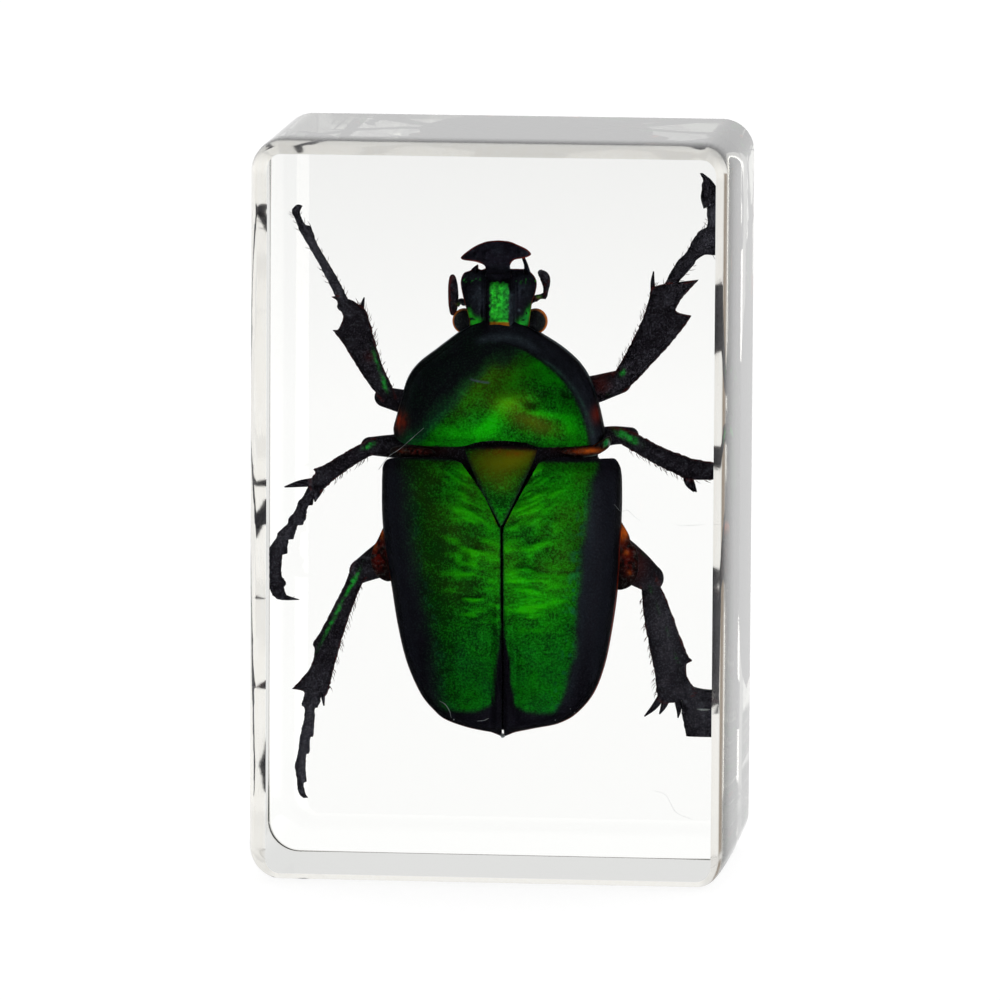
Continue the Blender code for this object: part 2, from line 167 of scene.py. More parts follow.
# a tapering rod along points (x, y, z), flattened across where flatness is below 1
def rod(path, radii, count=10, rings=14, flatness=1.0):
    path = smoothLine(path, rings)
    radii = glide(np.linspace(0, 1, rings), np.stack([np.linspace(0, 1, len(radii)), radii], -1))
    along = np.gradient(path, axis=0)
    along /= np.linalg.norm(along, axis=1)[:, None]
    across = np.cross(along, (0.0, 1.0, 0.0))
    across /= np.linalg.norm(across, axis=1)[:, None]
    deep = np.cross(along, across)
    turn = 2 * math.pi * np.arange(count) / count
    spread = across[:, None] * np.cos(turn)[:, None] + deep[:, None] * np.sin(turn)[:, None] * flatness
    return wrap(path[:, None] + spread * radii[:, None, None])


def ball(middle, radii, rings=20, count=28):
    middle = np.asarray(middle)
    turn = np.linspace(0, math.pi, rings + 2)[1:-1, None]
    around = 2 * math.pi * np.arange(count) / count
    side = np.sin(turn) * np.cos(around)
    deep = -np.cos(turn) * np.ones(count)
    ring = np.stack([side, deep, np.sin(turn) * np.sin(around)], -1)
    points, faces = wrap(ring * np.asarray(radii) + middle)
    points[0] = middle - (0, radii[1], 0)
    points[-1] = middle + (0, radii[1], 0)
    return points, faces


# a domed form inside an outline (x, z): rings out from its middle, then over the edge and back
# beneath it, by the skirt's pairs of a step inward and a depth
def dome(outline, look, height):
    middle = np.asarray(look["middle"], float)
    share = 1 - (1 - np.linspace(0, 1, look["rings"] + 1)[1:]) ** look.get("crowd", 1.8)
    x, z = np.moveaxis(middle + share[:, None, None] * (outline - middle), -1, 0)
    layers = list(np.stack([x, height(x, z), z], -1))
    inward = (middle - outline) / np.linalg.norm(middle - outline, axis=1)[:, None]
    edge = layers[-1]
    for inset, drop in look["skirt"]:
        shift = [inward[:, 0] * inset, np.full(len(edge), drop), inward[:, 1] * inset]
        layers.append(edge + np.stack(shift, -1))
    points, faces = wrap(layers)
    points[0] = (middle[0], height(middle[:1], middle[1:])[0], middle[1])
    return points, faces


# a flat limb between two edge lines (x, z) that run the same way, thickest along its middle,
# with a keel and a furrow, blunt ends and slightly rough edges
def blade(left, right, thickness, rows, ends=(0.5, 0.3), rough=0.0):
    left, right = smoothLine(left, rows), smoothLine(right, rows)
    inset = (right - left) / np.linalg.norm(right - left, axis=1).max()
    left = left + inset * rough * humps(inPlane(*left.T), 0.14, 3)[:, None]
    right = right + inset * rough * humps(inPlane(*right.T), 0.14, 4)[:, None]
    turn = 2 * math.pi * np.arange(32) / 32
    side, rise = np.cos(turn), np.sin(turn)
    rise = np.sign(rise) * np.abs(rise) ** 0.8
    share = np.linspace(0, 1, rows)
    body = np.minimum(1, ends[0] + share * 6) * np.minimum(1, ends[1] + (1 - share) * 7)
    middle, half = (left + right) / 2, (right - left) / 2
    skin = middle[:, None] + half[:, None] * side[None, :, None]
    keel = 1 - 0.16 * band(side, 0.25, 0.14) - 0.1 * band(side, -0.4, 0.12)
    y = legLevel - thickness / 2 * body[:, None] * (rise * keel)[None]
    return wrap(np.stack([skin[..., 0], y, skin[..., 1]], -1))


# puts several closed forms into one list of points and faces
def gather(forms):
    points, faces, first = [], [], 0
    for form, joins in forms:
        points.append(form)
        faces += [[first + corner for corner in face] for face in joins]
        first += len(form)
    return np.concatenate(points), faces


def meshFrom(name, points, faces, material, **masks):
    mesh = bpy.data.meshes.new(name)
    mesh.from_pydata((np.asarray(points) * mm).tolist(), [], faces)
    for key, values in masks.items():
        layer = mesh.attributes.new(key, "FLOAT", "POINT")
        layer.data.foreach_set("value", np.full(len(points), np.clip(values, 0, 1), np.float32))
    mesh.polygons.foreach_set("use_smooth", np.ones(len(mesh.polygons), dtype=bool))
    mesh.materials.append(material)
    mesh.update()
    piece = bpy.data.objects.new(name, mesh)
    bpy.context.scene.collection.objects.link(piece)
    return piece


def beetlePiece(name, points, faces, material, **masks):
    piece = meshFrom(name, points, faces, material, **masks)
    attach(piece, "root")
    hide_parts("beetle")


def linear(hexColour):
    parts = [int(hexColour[i:i + 2], 16) / 255 for i in (1, 3, 5)]
    return tuple(c / 12.92 if c <= 0.04045 else ((c + 0.055) / 1.055) ** 2.4 for c in parts) + (1.0,)


# adds a node. A name in small letters is a setting of the node, another one is its input, by name
# or place, which takes a value, an output of another node, or a node for the first that it uses.
def addNode(tree, kind, **settings):
    node = tree.nodes.new("ShaderNode" + kind)
    for key, value in settings.items():
        if key[0].islower():
            setattr(node, key, value)
            continue
        if key[1:].isdigit():
            socket = node.inputs[int(key[1:])]
        else:
            socket = next(s for s in node.inputs if s.enabled and s.name == key.replace("_", " "))
        if isinstance(value, bpy.types.Node):
            value = next(s for s in value.outputs if s.enabled)
        if isinstance(value, bpy.types.NodeSocket):
            tree.links.new(value, socket)
        else:
            socket.default_value = value
    return node


def nodesOf(owner):
    # empties a new material or world, and gives what adds a node to it
    owner.use_nodes = True
    owner.node_tree.nodes.clear()
    return partial(addNode, owner.node_tree)


print("resin block")
block = {
    "cornerRadius": 1.9,  # seen from the front
    # front bevels: width, and steepness in degrees at shares of that from the flat face out
    "right": (1.05, [(0, 47), (0.36, 51), (0.45, 66), (0.6, 80), (0.85, 88), (1, 89)]),
    "left": (1.08, [(0, 31), (0.6, 35), (0.8, 55), (1, 82)]),
    "top": (0.8, [(0, 44), (0.5, 55), (0.8, 75), (1, 86)]),
    "bottom": (0.5, [(0, 40), (0.5, 50), (0.8, 72), (1, 86)]),
    "backRound": 0.03,
    "backCorner": (0.12, 0.06),  # how much more is rubbed off the back edges near the corners
    "backReach": (5.0, 3.2),  # and how far from the corners that reaches
    "haze": 0.11,  # roughness of the bevels
    "hazeReach": (1.6, 2.6),  # how deep it is full, and where it ends
    "backHaze": (0.5, 0.2, 0.6),  # its share at the back edge, and the same two depths there
    "strokes": (3.0, 3.0, 0.4),  # of the cloth, to the millimetre: more across than along
    "points": 640,  # round the block
    "ior": 1.54,
    "tint": "#f5f6f2",
    "waxAndWarmTint": "#f6f1e8",  # a warm tint painted into the fine strokes of the bevels, standing in for warm colour refracted there
    "warmTintShare": 0.9,
    "density": 25,  # absorption per metre
}


# Cast polyester resin, sawn, wet sanded and buffed: clear, with hand-rubbed bevels that start
# abruptly at the flat front, so that the beetle's legs break off there and show again beyond.
def castResin():
    material = bpy.data.materials.new("castResin")
    add = nodesOf(material)
    # the flat faces are buffed, the hand-rubbed bevels keep a fine haze in vertical strokes
    place = add("TexCoord").outputs["Object"]
    drawn = add("Mapping", Vector=place, Scale=block["strokes"])
    strokes = add("TexNoise", Vector=drawn, Scale=1 / mm, Detail=2.0)
    rubbed = add("Attribute", attribute_name="rubbed").outputs["Fac"]
    uneven = add("MapRange", Value=strokes, To_Min=0.5, To_Max=1.5)
    haze = add("Math", operation="MULTIPLY", _0=uneven, _1=rubbed)
    rough = add("Math", operation="MULTIPLY", _0=haze, _1=block["haze"])
    # a warm tint painted into the hazy strokes, standing in for warm colour refracted in the bevels
    warm = add("Math", operation="MULTIPLY", use_clamp=True, _0=haze, _1=block["warmTintShare"])
    white, waxAndWarmTint = linear("#ffffff"), linear(block["waxAndWarmTint"])
    colour = add("Mix", data_type="RGBA", Factor=warm, A=white, B=waxAndWarmTint)
    resin = add("BsdfPrincipled", Base_Color=colour, Roughness=rough,
                IOR=block["ior"], Transmission_Weight=1.0)
    depth = add("VolumeAbsorption", Color=linear(block["tint"]), Density=block["density"])
    add("OutputMaterial", Surface=resin, Volume=depth)
    return material


def bevelLine(width, slopes):
    # depth from the front along a bevel, and inset from the side there
    share = np.linspace(0, 1, 60)
    steep = np.radians(np.interp(share, *np.transpose(slopes)))
    rise = np.diff(share) * width * np.tan((steep[1:] + steep[:-1]) / 2)
    return np.concatenate([[0], np.cumsum(rise)]), width * (1 - share)


def blockOutline():
    # the front view's rounded rectangle and its outward normals, evenly spaced
    radius = block["cornerRadius"]
    right, low, high = blockHigh[0] - radius, blockLow[2] + radius, blockHigh[2] - radius
    quarter = math.pi / 2
    arcs = []
    for k, (x, z) in enumerate(((right, high), (-right, high), (-right, low), (right, low))):
        turns = np.linspace(0, quarter, 40) + k * quarter
        arcs.append(np.stack([x + radius * np.cos(turns), z + radius * np.sin(turns)], -1))
    points = evenly(np.concatenate([*arcs, arcs[0][:1]]), block["points"], closed=True)
    normals = points - np.clip(points, (-right, low), (right, high))
    return points, normals / np.linalg.norm(normals, axis=1)[:, None]


def makeBlock():
    points, normals = blockOutline()
    (x, z), (nx, nz) = points.T, normals.T
    weight = {"right": nx, "left": -nx, "top": nz, "bottom": -nz}
    weight = {side: np.maximum(share, 0) ** 2 for side, share in weight.items()}
    lines = {side: bevelLine(*block[side]) for side in weight}
    depths = np.unique(np.concatenate([line[0][::4] for line in lines.values()]))
    depths = depths[np.concatenate([[True], np.diff(depths) > 0.015])]

    def ring(inset, y):
        # the outline, moved in and set at one depth
        ringX, ringZ = (points - normals * np.reshape(inset, (-1, 1))).T
        return np.stack([ringX, x * 0 + y, ringZ], -1)

    rings = []
    for depth in (*depths, depths[-1] + 0.1):
        inset = sum(weight[side] * np.interp(depth, *lines[side]) for side in weight)
        rings.append(ring(inset, blockLow[1] + depth))
    # the back edge is only broken, but rubbed further towards the corners
    offSide, offEnd = blockHigh[0] - np.abs(x), np.minimum(z - blockLow[2], blockHigh[2] - z)
    (sideMore, endMore), (sideReach, endReach) = block["backCorner"], block["backReach"]
    more = sideMore * nx**2 * band(offEnd, 0, sideReach) + endMore * nz**2 * band(offSide, 0, endReach)
    size = block["backRound"] + more
    rings.append(ring(0, blockHigh[1] - size - 0.1))
    for share in np.linspace(1, 0, 11):
        turn = math.pi / 2 * share
        rings.append(ring(size * (1 - math.sin(turn)), blockHigh[1] - size * (1 - math.cos(turn))))
    rings = np.array(rings)
    count, last = len(points), len(rings) - 1
    i = np.arange(count)
    j = (i + 1) % count
    start = count * np.arange(last)[:, None]
    faces = np.stack([start + i, start + count + i, start + count + j, start + j], -1)
    faces = [*faces.reshape(-1, 4).tolist(), i.tolist(), (i[::-1] + count * last).tolist()]
    front, back = rings[..., 1] - blockLow[1], blockHigh[1] - rings[..., 1]
    full, end = block["hazeReach"]
    backShare, backFull, backEnd = block["backHaze"]
    rubbed = step(front, end, full) + backShare * step(back, backEnd, backFull)
    rubbed[[0, -1]] = 0
    piece = meshFrom("resinBlock", rings.reshape(-1, 3), faces, castResin(), rubbed=rubbed.ravel())
    # the two large faces stay flat, and the front one ends in a sharp edge
    for face in piece.data.polygons[-2:]:
        face.use_smooth = False
    for edge in piece.data.edges:
        edge.use_edge_sharp = max(edge.vertices) < count
    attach(piece, "root")
    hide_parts("resin_front", "resin_back")


makeBlock()

print("beetle finishes")
# Chitin of a flower chafer: a hard polished shell whose thin layers give a metal-like green,
# black wherever the layers end. In resin its own gloss is nearly lost, so the IOR is low.
# How brightly the green is lit, its sheen and much of the black along its borders are painted in by masks.
shell = {
    "black": "#16141c",
    "deep": "#063606",
    "green": "#0fa602",
    "gold": "#80860a",
    "teal": "#1d6a4c",
    "bloom": "#4e5c66",
    "rust": "#a8360c",
    "gloss": "#6a7074",  # tint of what it reflects
    "metallic": 0.7,
    "roughness": 0.4,
    "ior": 1.15,  # of the shell against the resin round it
    "grain": 0.12,  # millimetres across; the real pits are about 0.03 and too fine to show
    "speckle": 0.34,  # how much the grain darkens and brightens
    "cloud": 0.9,  # millimetres across
    "drift": 0.12,  # how much the clouds do
    "pitDepth": 0.02,  # millimetres
    "flecks": 0.1,  # how much fine pale scratches show everywhere
    "worn": (-0.06, 0.1),  # how far the roughness wanders
}


def chitin(name, look):
    material = bpy.data.materials.new(name)
    add = nodesOf(material)
    place = add("TexCoord").outputs["Object"]
    mask = {
        key: add("Attribute", attribute_name=key).outputs["Fac"]
        for key in ("green", "gold", "teal", "bloom", "rust", "light")
    }
    fine, broad, pitted = 1 / (look["grain"] * mm), 1 / (look["cloud"] * mm), 1 / (look["grain"] * 1.6 * mm)
    grain = add("TexNoise", Vector=place, Scale=fine, Detail=3.0, Roughness=0.7)
    cloud = add("TexNoise", Vector=place, Scale=broad, Detail=2.0)
    pits = add("TexVoronoi", Vector=place, Scale=pitted, Randomness=1.0)
    amount, sweep = look["speckle"], look["drift"]
    speck = add("MapRange", Value=grain, From_Min=0.34, From_Max=0.66, To_Min=-amount, To_Max=amount)
    drift = add("MapRange", Value=cloud, From_Min=0.3, From_Max=0.7, To_Min=-sweep, To_Max=sweep)
    uneven = add("Math", operation="ADD", _0=speck, _1=drift)
    # how bright the green is, as painted highlight and shade from the light mask, and where it covers the
    # black with a ragged edge
    vivid = add("Math", operation="ADD", use_clamp=True, _0=mask["light"], _1=uneven)
    ragged = add("Math", operation="MULTIPLY_ADD", use_clamp=True, _0=uneven, _1=0.4, _2=mask["green"])
    cover = add("Math", operation="MULTIPLY", use_clamp=True, _0=ragged, _1=mask["green"])
    # the pale bloom and painted sheen is patchy, and the brightest grains are scratches
    scratched = add("MapRange", Value=grain, From_Min=0.5, From_Max=0.68, To_Max=look["flecks"])
    patchy = add("Math", operation="MULTIPLY_ADD", _0=uneven, _1=0.8, _2=1.0)
    bloom = add("Math", operation="MULTIPLY", _0=patchy, _1=mask["bloom"])
    misty = add("Math", operation="ADD", use_clamp=True, _0=bloom, _1=scratched)
    colour = linear(look["deep"])
    layers = (("green", vivid), ("gold", mask["gold"]), ("teal", mask["teal"]), ("black", cover),
              ("bloom", misty), ("rust", mask["rust"]))
    for key, factor in layers:
        ends = (colour, linear(look[key]))
        under, over = reversed(ends) if key == "black" else ends
        colour = add("Mix", data_type="RGBA", Factor=factor, A=under, B=over)
    smooth, rough = (look["roughness"] + change for change in look["worn"])
    sheen = add("MapRange", Value=grain, To_Min=smooth, To_Max=rough)
    relief = add("Math", operation="ADD", _0=pits, _1=grain)
    dimple = add("Bump", Strength=0.6, Distance=look["pitDepth"] * mm, Height=relief)
    shader = add("BsdfPrincipled", Base_Color=colour, Roughness=sheen, Normal=dimple,
                 Metallic=look["metallic"], IOR=look["ior"], Specular_Tint=linear(look["gloss"]))
    add("OutputMaterial", Surface=shader)
    return material


shellChitin = chitin("chaferShell", shell)
# The legs and the underside are the same chitin without the layers: near black, duller, with
# a blue-grey bloom from fine scratches, painted green glints and a painted red-brown glow where it is thin
# enough to let light in.
limb = dict(shell, black="#1d1a20", green="#22c03c", rust="#6a1c0a", bloom="#55555e", metallic=0.25,
            roughness=0.5, grain=0.12, pitDepth=0.03, flecks=0.45)
limbChitin = chitin("legChitin", limb)
# Joint skins and coxal plates are softer chitin that glows amber and blood red in light from
# behind; here that glow is in the colour.
skin = dict(shell, black="#140a0b", green="#25b058", gold="#5e120a", rust="#cf5f1c", bloom="#8fa09a",
            metallic=0.0, roughness=0.45, grain=0.2, speckle=0.5, flecks=0.12)
thinChitin = chitin("thinChitin", skin)
# Eyes of many fine lenses over a dark red pigment, paler amber at the rim where it is thin.
lenses = dict(skin, black="#111116", rust="#e07c2a", roughness=0.25, grain=0.08, flecks=0.08)
eyeLenses = chitin("compoundEye", lenses)
# The face has the same layers as the back, but thicker, so that its green is brighter and bluer.
face = dict(shell, deep="#074c14", green="#2fd62f", gold="#7a9a14", speckle=0.4)
faceChitin = chitin("faceShell", face)

trunk = {
    "edge": -0.4,  # y of the widest line
    "power": 2.5,  # above 2 flattens the middle of the back
    "bellyPower": 2.1,
}


def overBack(t):
    # how the back rounds off from its middle line, t = 0, to the widest one, t = 1
    return (1 - t ** trunk["power"]) ** (1 / trunk["power"])


print("elytra")
elytra = {
    "seam": [(8.0, 0.41), (10.5, 0.5), (13.0, 0.55), (16.6, 0.52), (20.8, 0.48), (24.0, 0.33), (25.4, 0.3)],
    "back": [
        (8.0, 0.15), (8.35, 0.5), (8.75, 1.0), (9.6, 1.6), (11.0, 2.3), (13.5, 3.1), (17.0, 3.65),
        (21.0, 3.68), (24.2, 3.25), (25.4, 2.7),
    ],
    "leftBase": [
        (0.36, 20.85), (-0.66, 22.9), (-1.95, 24.68), (-1.95, 24.68), (-2.4, 24.85), (-3.33, 25.0),
        (-4.86, 24.92), (-5.9, 24.85), (-6.45, 24.72), (-6.74, 24.35),
    ],
    "leftFlank": [
        (-6.85, 23.9), (-6.87, 23.2), (-6.84, 21.19), (-6.62, 19.1), (-6.27, 17.07), (-5.90, 14.79),
        (-5.35, 12.52), (-4.51, 10.62), (-3.7, 9.62), (-3.01, 9.08), (-1.69, 8.63), (-0.3, 8.36),
        (0.36, 8.12), (0.36, 8.12),
    ],
    "leftSeam": [(0.46, 10.5), (0.5, 13.0), (0.47, 16.6), (0.42, 20.7), (0.36, 20.85)],
    "leftMiddle": (-2.75, 16.6),
    "rightBase": [
        (0.53, 20.85), (1.5, 22.75), (2.62, 24.78), (2.62, 24.78), (3.25, 25.05), (4.39, 25.12),
        (5.6, 25.02), (6.6, 25.02), (7.04, 24.96), (7.3, 24.5),
    ],
    "rightFlank": [
        (7.38, 23.9), (7.41, 22.7), (7.40, 21.63), (7.33, 19.4), (7.19, 17.02), (6.86, 14.56),
        (6.45, 12.51), (5.81, 10.82), (4.80, 9.60), (3.74, 8.98), (2.37, 8.67), (1.2, 8.4),
        (0.48, 8.12), (0.48, 8.12),
    ],
    "rightSeam": [(0.55, 10.5), (0.6, 13.0), (0.57, 16.6), (0.54, 20.7), (0.53, 20.85)],
    "rightMiddle": (3.65, 16.6),
    "crease": [(0.8, 18.6), (1.7, 18.72), (3.0, 18.38), (4.3, 18.3), (5.6, 18.65)],
    # how far out the green reaches, over the height; the black margin beyond it is painted shade
    "leftGreen": [
        (8.0, 2.6), (9.63, 3.0), (10.99, 3.5), (14.06, 3.75), (18.0, 4.6), (21.2, 5.2), (25.4, 5.5),
    ],
    "rightGreen": [
        (8.0, 3.0), (9.7, 3.6), (10.8, 4.15), (13.24, 4.75), (18.54, 5.2), (22.27, 5.6), (25.4, 6.2),
    ],
    # painted highlights on the green of the wing cases
    "paintedLight": [
        ((-1.9, 22.6), (1.1, 1.6), 35, 0.3), ((3.4, 23.0), (1.6, 1.1), 15, 0.3),
        ((2.5, 17.0), (1.8, 1.3), 0, 0.36), ((0.0, 18.4), (1.1, 2.2), 0, 0.2),
        ((4.6, 23.6), (1.2, 1.0), 0, 0.12), ((-3.0, 24.3), (1.8, 0.5), 0, 0.15),
    ],
    # painted light level, softness of the green's border, painted pale and teal sheen along it, painted
    # shade on the flank
    "leftTones": (0.18, 1.0, 0.04, 0.25, 0.3),
    "rightTones": (0.24, 0.3, 0.12, 0.5, 0.0),
    "skirt": [(0.0, 0.05), (0.04, 0.16), (0.12, 0.3), (0.3, 0.42), (0.7, 0.5)],
    "count": 520,
    "rings": 90,
}


def elytron(side):
    name = "left" if side < 0 else "right"
    flank = elytra[name + "Flank"]
    line = elytra[name + "Base"] + flank + elytra[name + "Seam"]
    outline = smoothLine(line, elytra["count"], closed=True)

    def fromSeam(x, z):
        return side * (x - glide(z, elytra["seam"]))

    flankX, flankZ = smoothLine(flank, 200)[::-1].T
    reach = fromSeam(flankX, flankZ)

    def folds(x, z):
        # the shell's crumples fan out from the scutellum and lie level further down
        seam = fromSeam(x, z)
        level = z - 0.42 * step(z, 17.5, 23) * seam
        fold = humps(inPlane(seam / 1.5, level / 0.3, side), 1, 21)
        fold += 0.6 * humps(inPlane(seam / 0.5, level / 0.16), 1, 5)
        return fold * band(seam, 1.7, 1.7) * step(z, 13.5, 17)

    def crease(x, z, start, above, width):
        # the fine crease across the right wing case, or a line beside it
        line = band(z - glide(x, elytra["crease"]), above, width)
        return step(x, start, start + 0.8) * step(x, 5.6, 5.0) * line

    def height(x, z):
        seam = fromSeam(x, z)
        t = np.clip(np.abs(seam / np.maximum(np.interp(z, flankZ, reach), 0.05)), 0, 1)
        back = glide(z, elytra["back"]) * overBack(t)
        back += 0.12 * spot(x, z, (side * 5.3 + 0.3, 23.6), (0.9, 1.1))  # shoulder
        back += 0.1 * spot(x, z, (side * 3.2 + 0.5, 10.6), (1.0, 0.8))  # knob near the tip
        back += 0.07 * step(z, 19, 12) * band(seam, 0.32, 0.16)  # raised seam border
        back -= 0.09 * step(z, 17, 12) * band(seam, 0.75, 0.22)  # groove beside it
        back -= 0.12 * np.exp(-np.maximum(seam, 0) / 0.05)  # the edge turns down into the seam
        back += 0.05 * folds(x, z) + 0.02 * humps(inPlane(x, z), 1.4, 8)
        back -= 0.05 * crease(x, z, 0.8, 0, 0.08)
        return trunk["edge"] - back

    points, faces = dome(outline, dict(elytra, middle=elytra[name + "Middle"]), height)
    x, y, z = points.T
    seam, fold = fromSeam(x, z), folds(x, z)
    paintedLight, blur, pale, shimmer, dark = elytra[name + "Tones"]
    # the green stops at that limit, and the black margin beyond it is painted shade
    limit = glide(z, elytra[name + "Green"])
    green = step(side * x + 0.15 * humps(points, 0.8, 11), limit + blur * 1.1, limit - blur)
    tip = 9.7 + 0.7 * band(seam, 0.1, 1.0)
    green *= step(z, tip - 0.3, tip + 0.25) * step(z, 25.0, 24.7)
    # the black wedge along the seam grows wider and streaked towards the tip
    streaks = 0.12 * humps(inPlane(x * 6, z / 1.5), 1, 61)
    wedge = 0.06 + 0.4 * step(z, 15, 12) + 0.12 * step(z, 12, 10) + streaks * step(z, 15, 12)
    green *= step(seam, wedge - 0.12, wedge + 0.14)
    # painted light: highlights on the crests of the crumples and shade in their troughs, painted highlight
    # patches, lighter towards the tip and painted shade towards the flank
    light = paintedLight + 1.1 * np.maximum(fold, 0) + 0.3 * np.minimum(fold, 0)
    light += patches(x, z, elytra["paintedLight"]) + 0.12 * step(z, 15, 11) - dark * step(seam, 2.2, 4.6)
    # painted shade along the crease, with a painted highlight just below it
    light -= 0.6 * crease(x, z, 1.0, 0, 0.07) - 0.2 * crease(x, z, 1.0, -0.2, 0.14)
    # painted pale sheen along the green's border, and a little pale further out
    bloom = pale * band(side * x - limit, 0.2, 0.35) * step(z, 25, 21) * step(z, 9.6, 11)
    bloom += 0.05 * step(seam, 4.6, 5.4) * step(z, 24.5, 23.5)
    # teal towards the tip, and a painted teal sheen speckled along the green's border
    teal = 0.16 * step(z, 16, 11) * (0.5 + 0.5 * humps(points, 0.7, 13))
    speckled = mottle(points, 0.22, 19, -0.1, 0.6) * step(z, 24, 20)
    teal += shimmer * band(side * x - limit, -0.3, 0.4) * speckled
    # an olive tint, with more of it as a painted highlight on the crests of the crumples
    gold = 0.03 * (1 + humps(points, 1.1, 17)) * step(z, 14, 20) + 0.05 * np.maximum(fold, 0)
    rust = 0.75 * step(gapTo(x, z, outline), 0.09, 0.03) * step(z, 22, 19) * (seam > 0.3)
    beetlePiece("elytron" + name.capitalize(), points, faces, shellChitin,
                green=green, light=light, teal=teal, gold=gold, rust=rust, bloom=bloom)


elytron(-1)
elytron(1)

print("scutellum")
scutellum = {
    "outline": [
        (0.46, 20.98), (0.46, 20.98), (1.0, 22.0), (1.62, 23.3), (2.3, 24.8), (2.52, 25.55), (2.52, 25.55),
        (1.4, 25.75), (0.35, 25.8), (-0.7, 25.75), (-1.84, 25.55), (-1.84, 25.55), (-1.55, 24.8),
        (-0.82, 23.3), (-0.1, 22.0), (0.46, 20.98),
    ],
    "ridge": [(20.9, -4.2), (22.5, -4.1), (23.9, -3.98), (25.2, -3.5), (25.8, -3.1)],
    "middle": (0.4, 24.0),
    "olive": [
        ((1.0, 24.9), (1.7, 0.65), 15, 0.9), ((-0.6, 25.0), (0.9, 0.5), 0, 0.3),
        ((0.5, 23.6), (0.8, 0.5), 0, 0.12),
    ],
    "rust": [((0.9, 25.35), (1.3, 0.22), 0, 0.5)],
    # a painted highlight
    "paintedLight": [((1.2, 24.5), (0.6, 0.5), 0, 0.2)],
    "skirt": [(0.03, 0.03), (0.06, 0.12), (0.1, 0.5), (0.4, 0.9)],
    "count": 240,
    "rings": 50,
}


def makeScutellum():
    def height(x, z):
        return glide(z, scutellum["ridge"]) + 0.06 * (x - 0.4) ** 2 + 0.012 * humps(inPlane(x, z), 0.4, 4)

    outline = smoothLine(scutellum["outline"], scutellum["count"], closed=True)
    points, faces = dome(outline, scutellum, height)
    x, y, z = points.T
    gap = gapTo(x, z, outline)
    green = step(gap, 0.0, 0.06) * step(z, 25.75, 25.45) * (0.6 + 0.4 * step(gap, 0.05, 0.3))
    rust = patches(x, z, scutellum["rust"]) * (0.6 + 0.5 * humps(points, 0.25, 6))
    # painted light, brighter towards the tip
    light = 0.04 + 0.1 * humps(points, 0.5, 2) + 0.5 * step(z, 22.8, 21.4)
    beetlePiece("scutellum", points, faces, shellChitin, green=green, rust=rust,
                gold=patches(x, z, scutellum["olive"]), light=light + patches(x, z, scutellum["paintedLight"]))


makeScutellum()

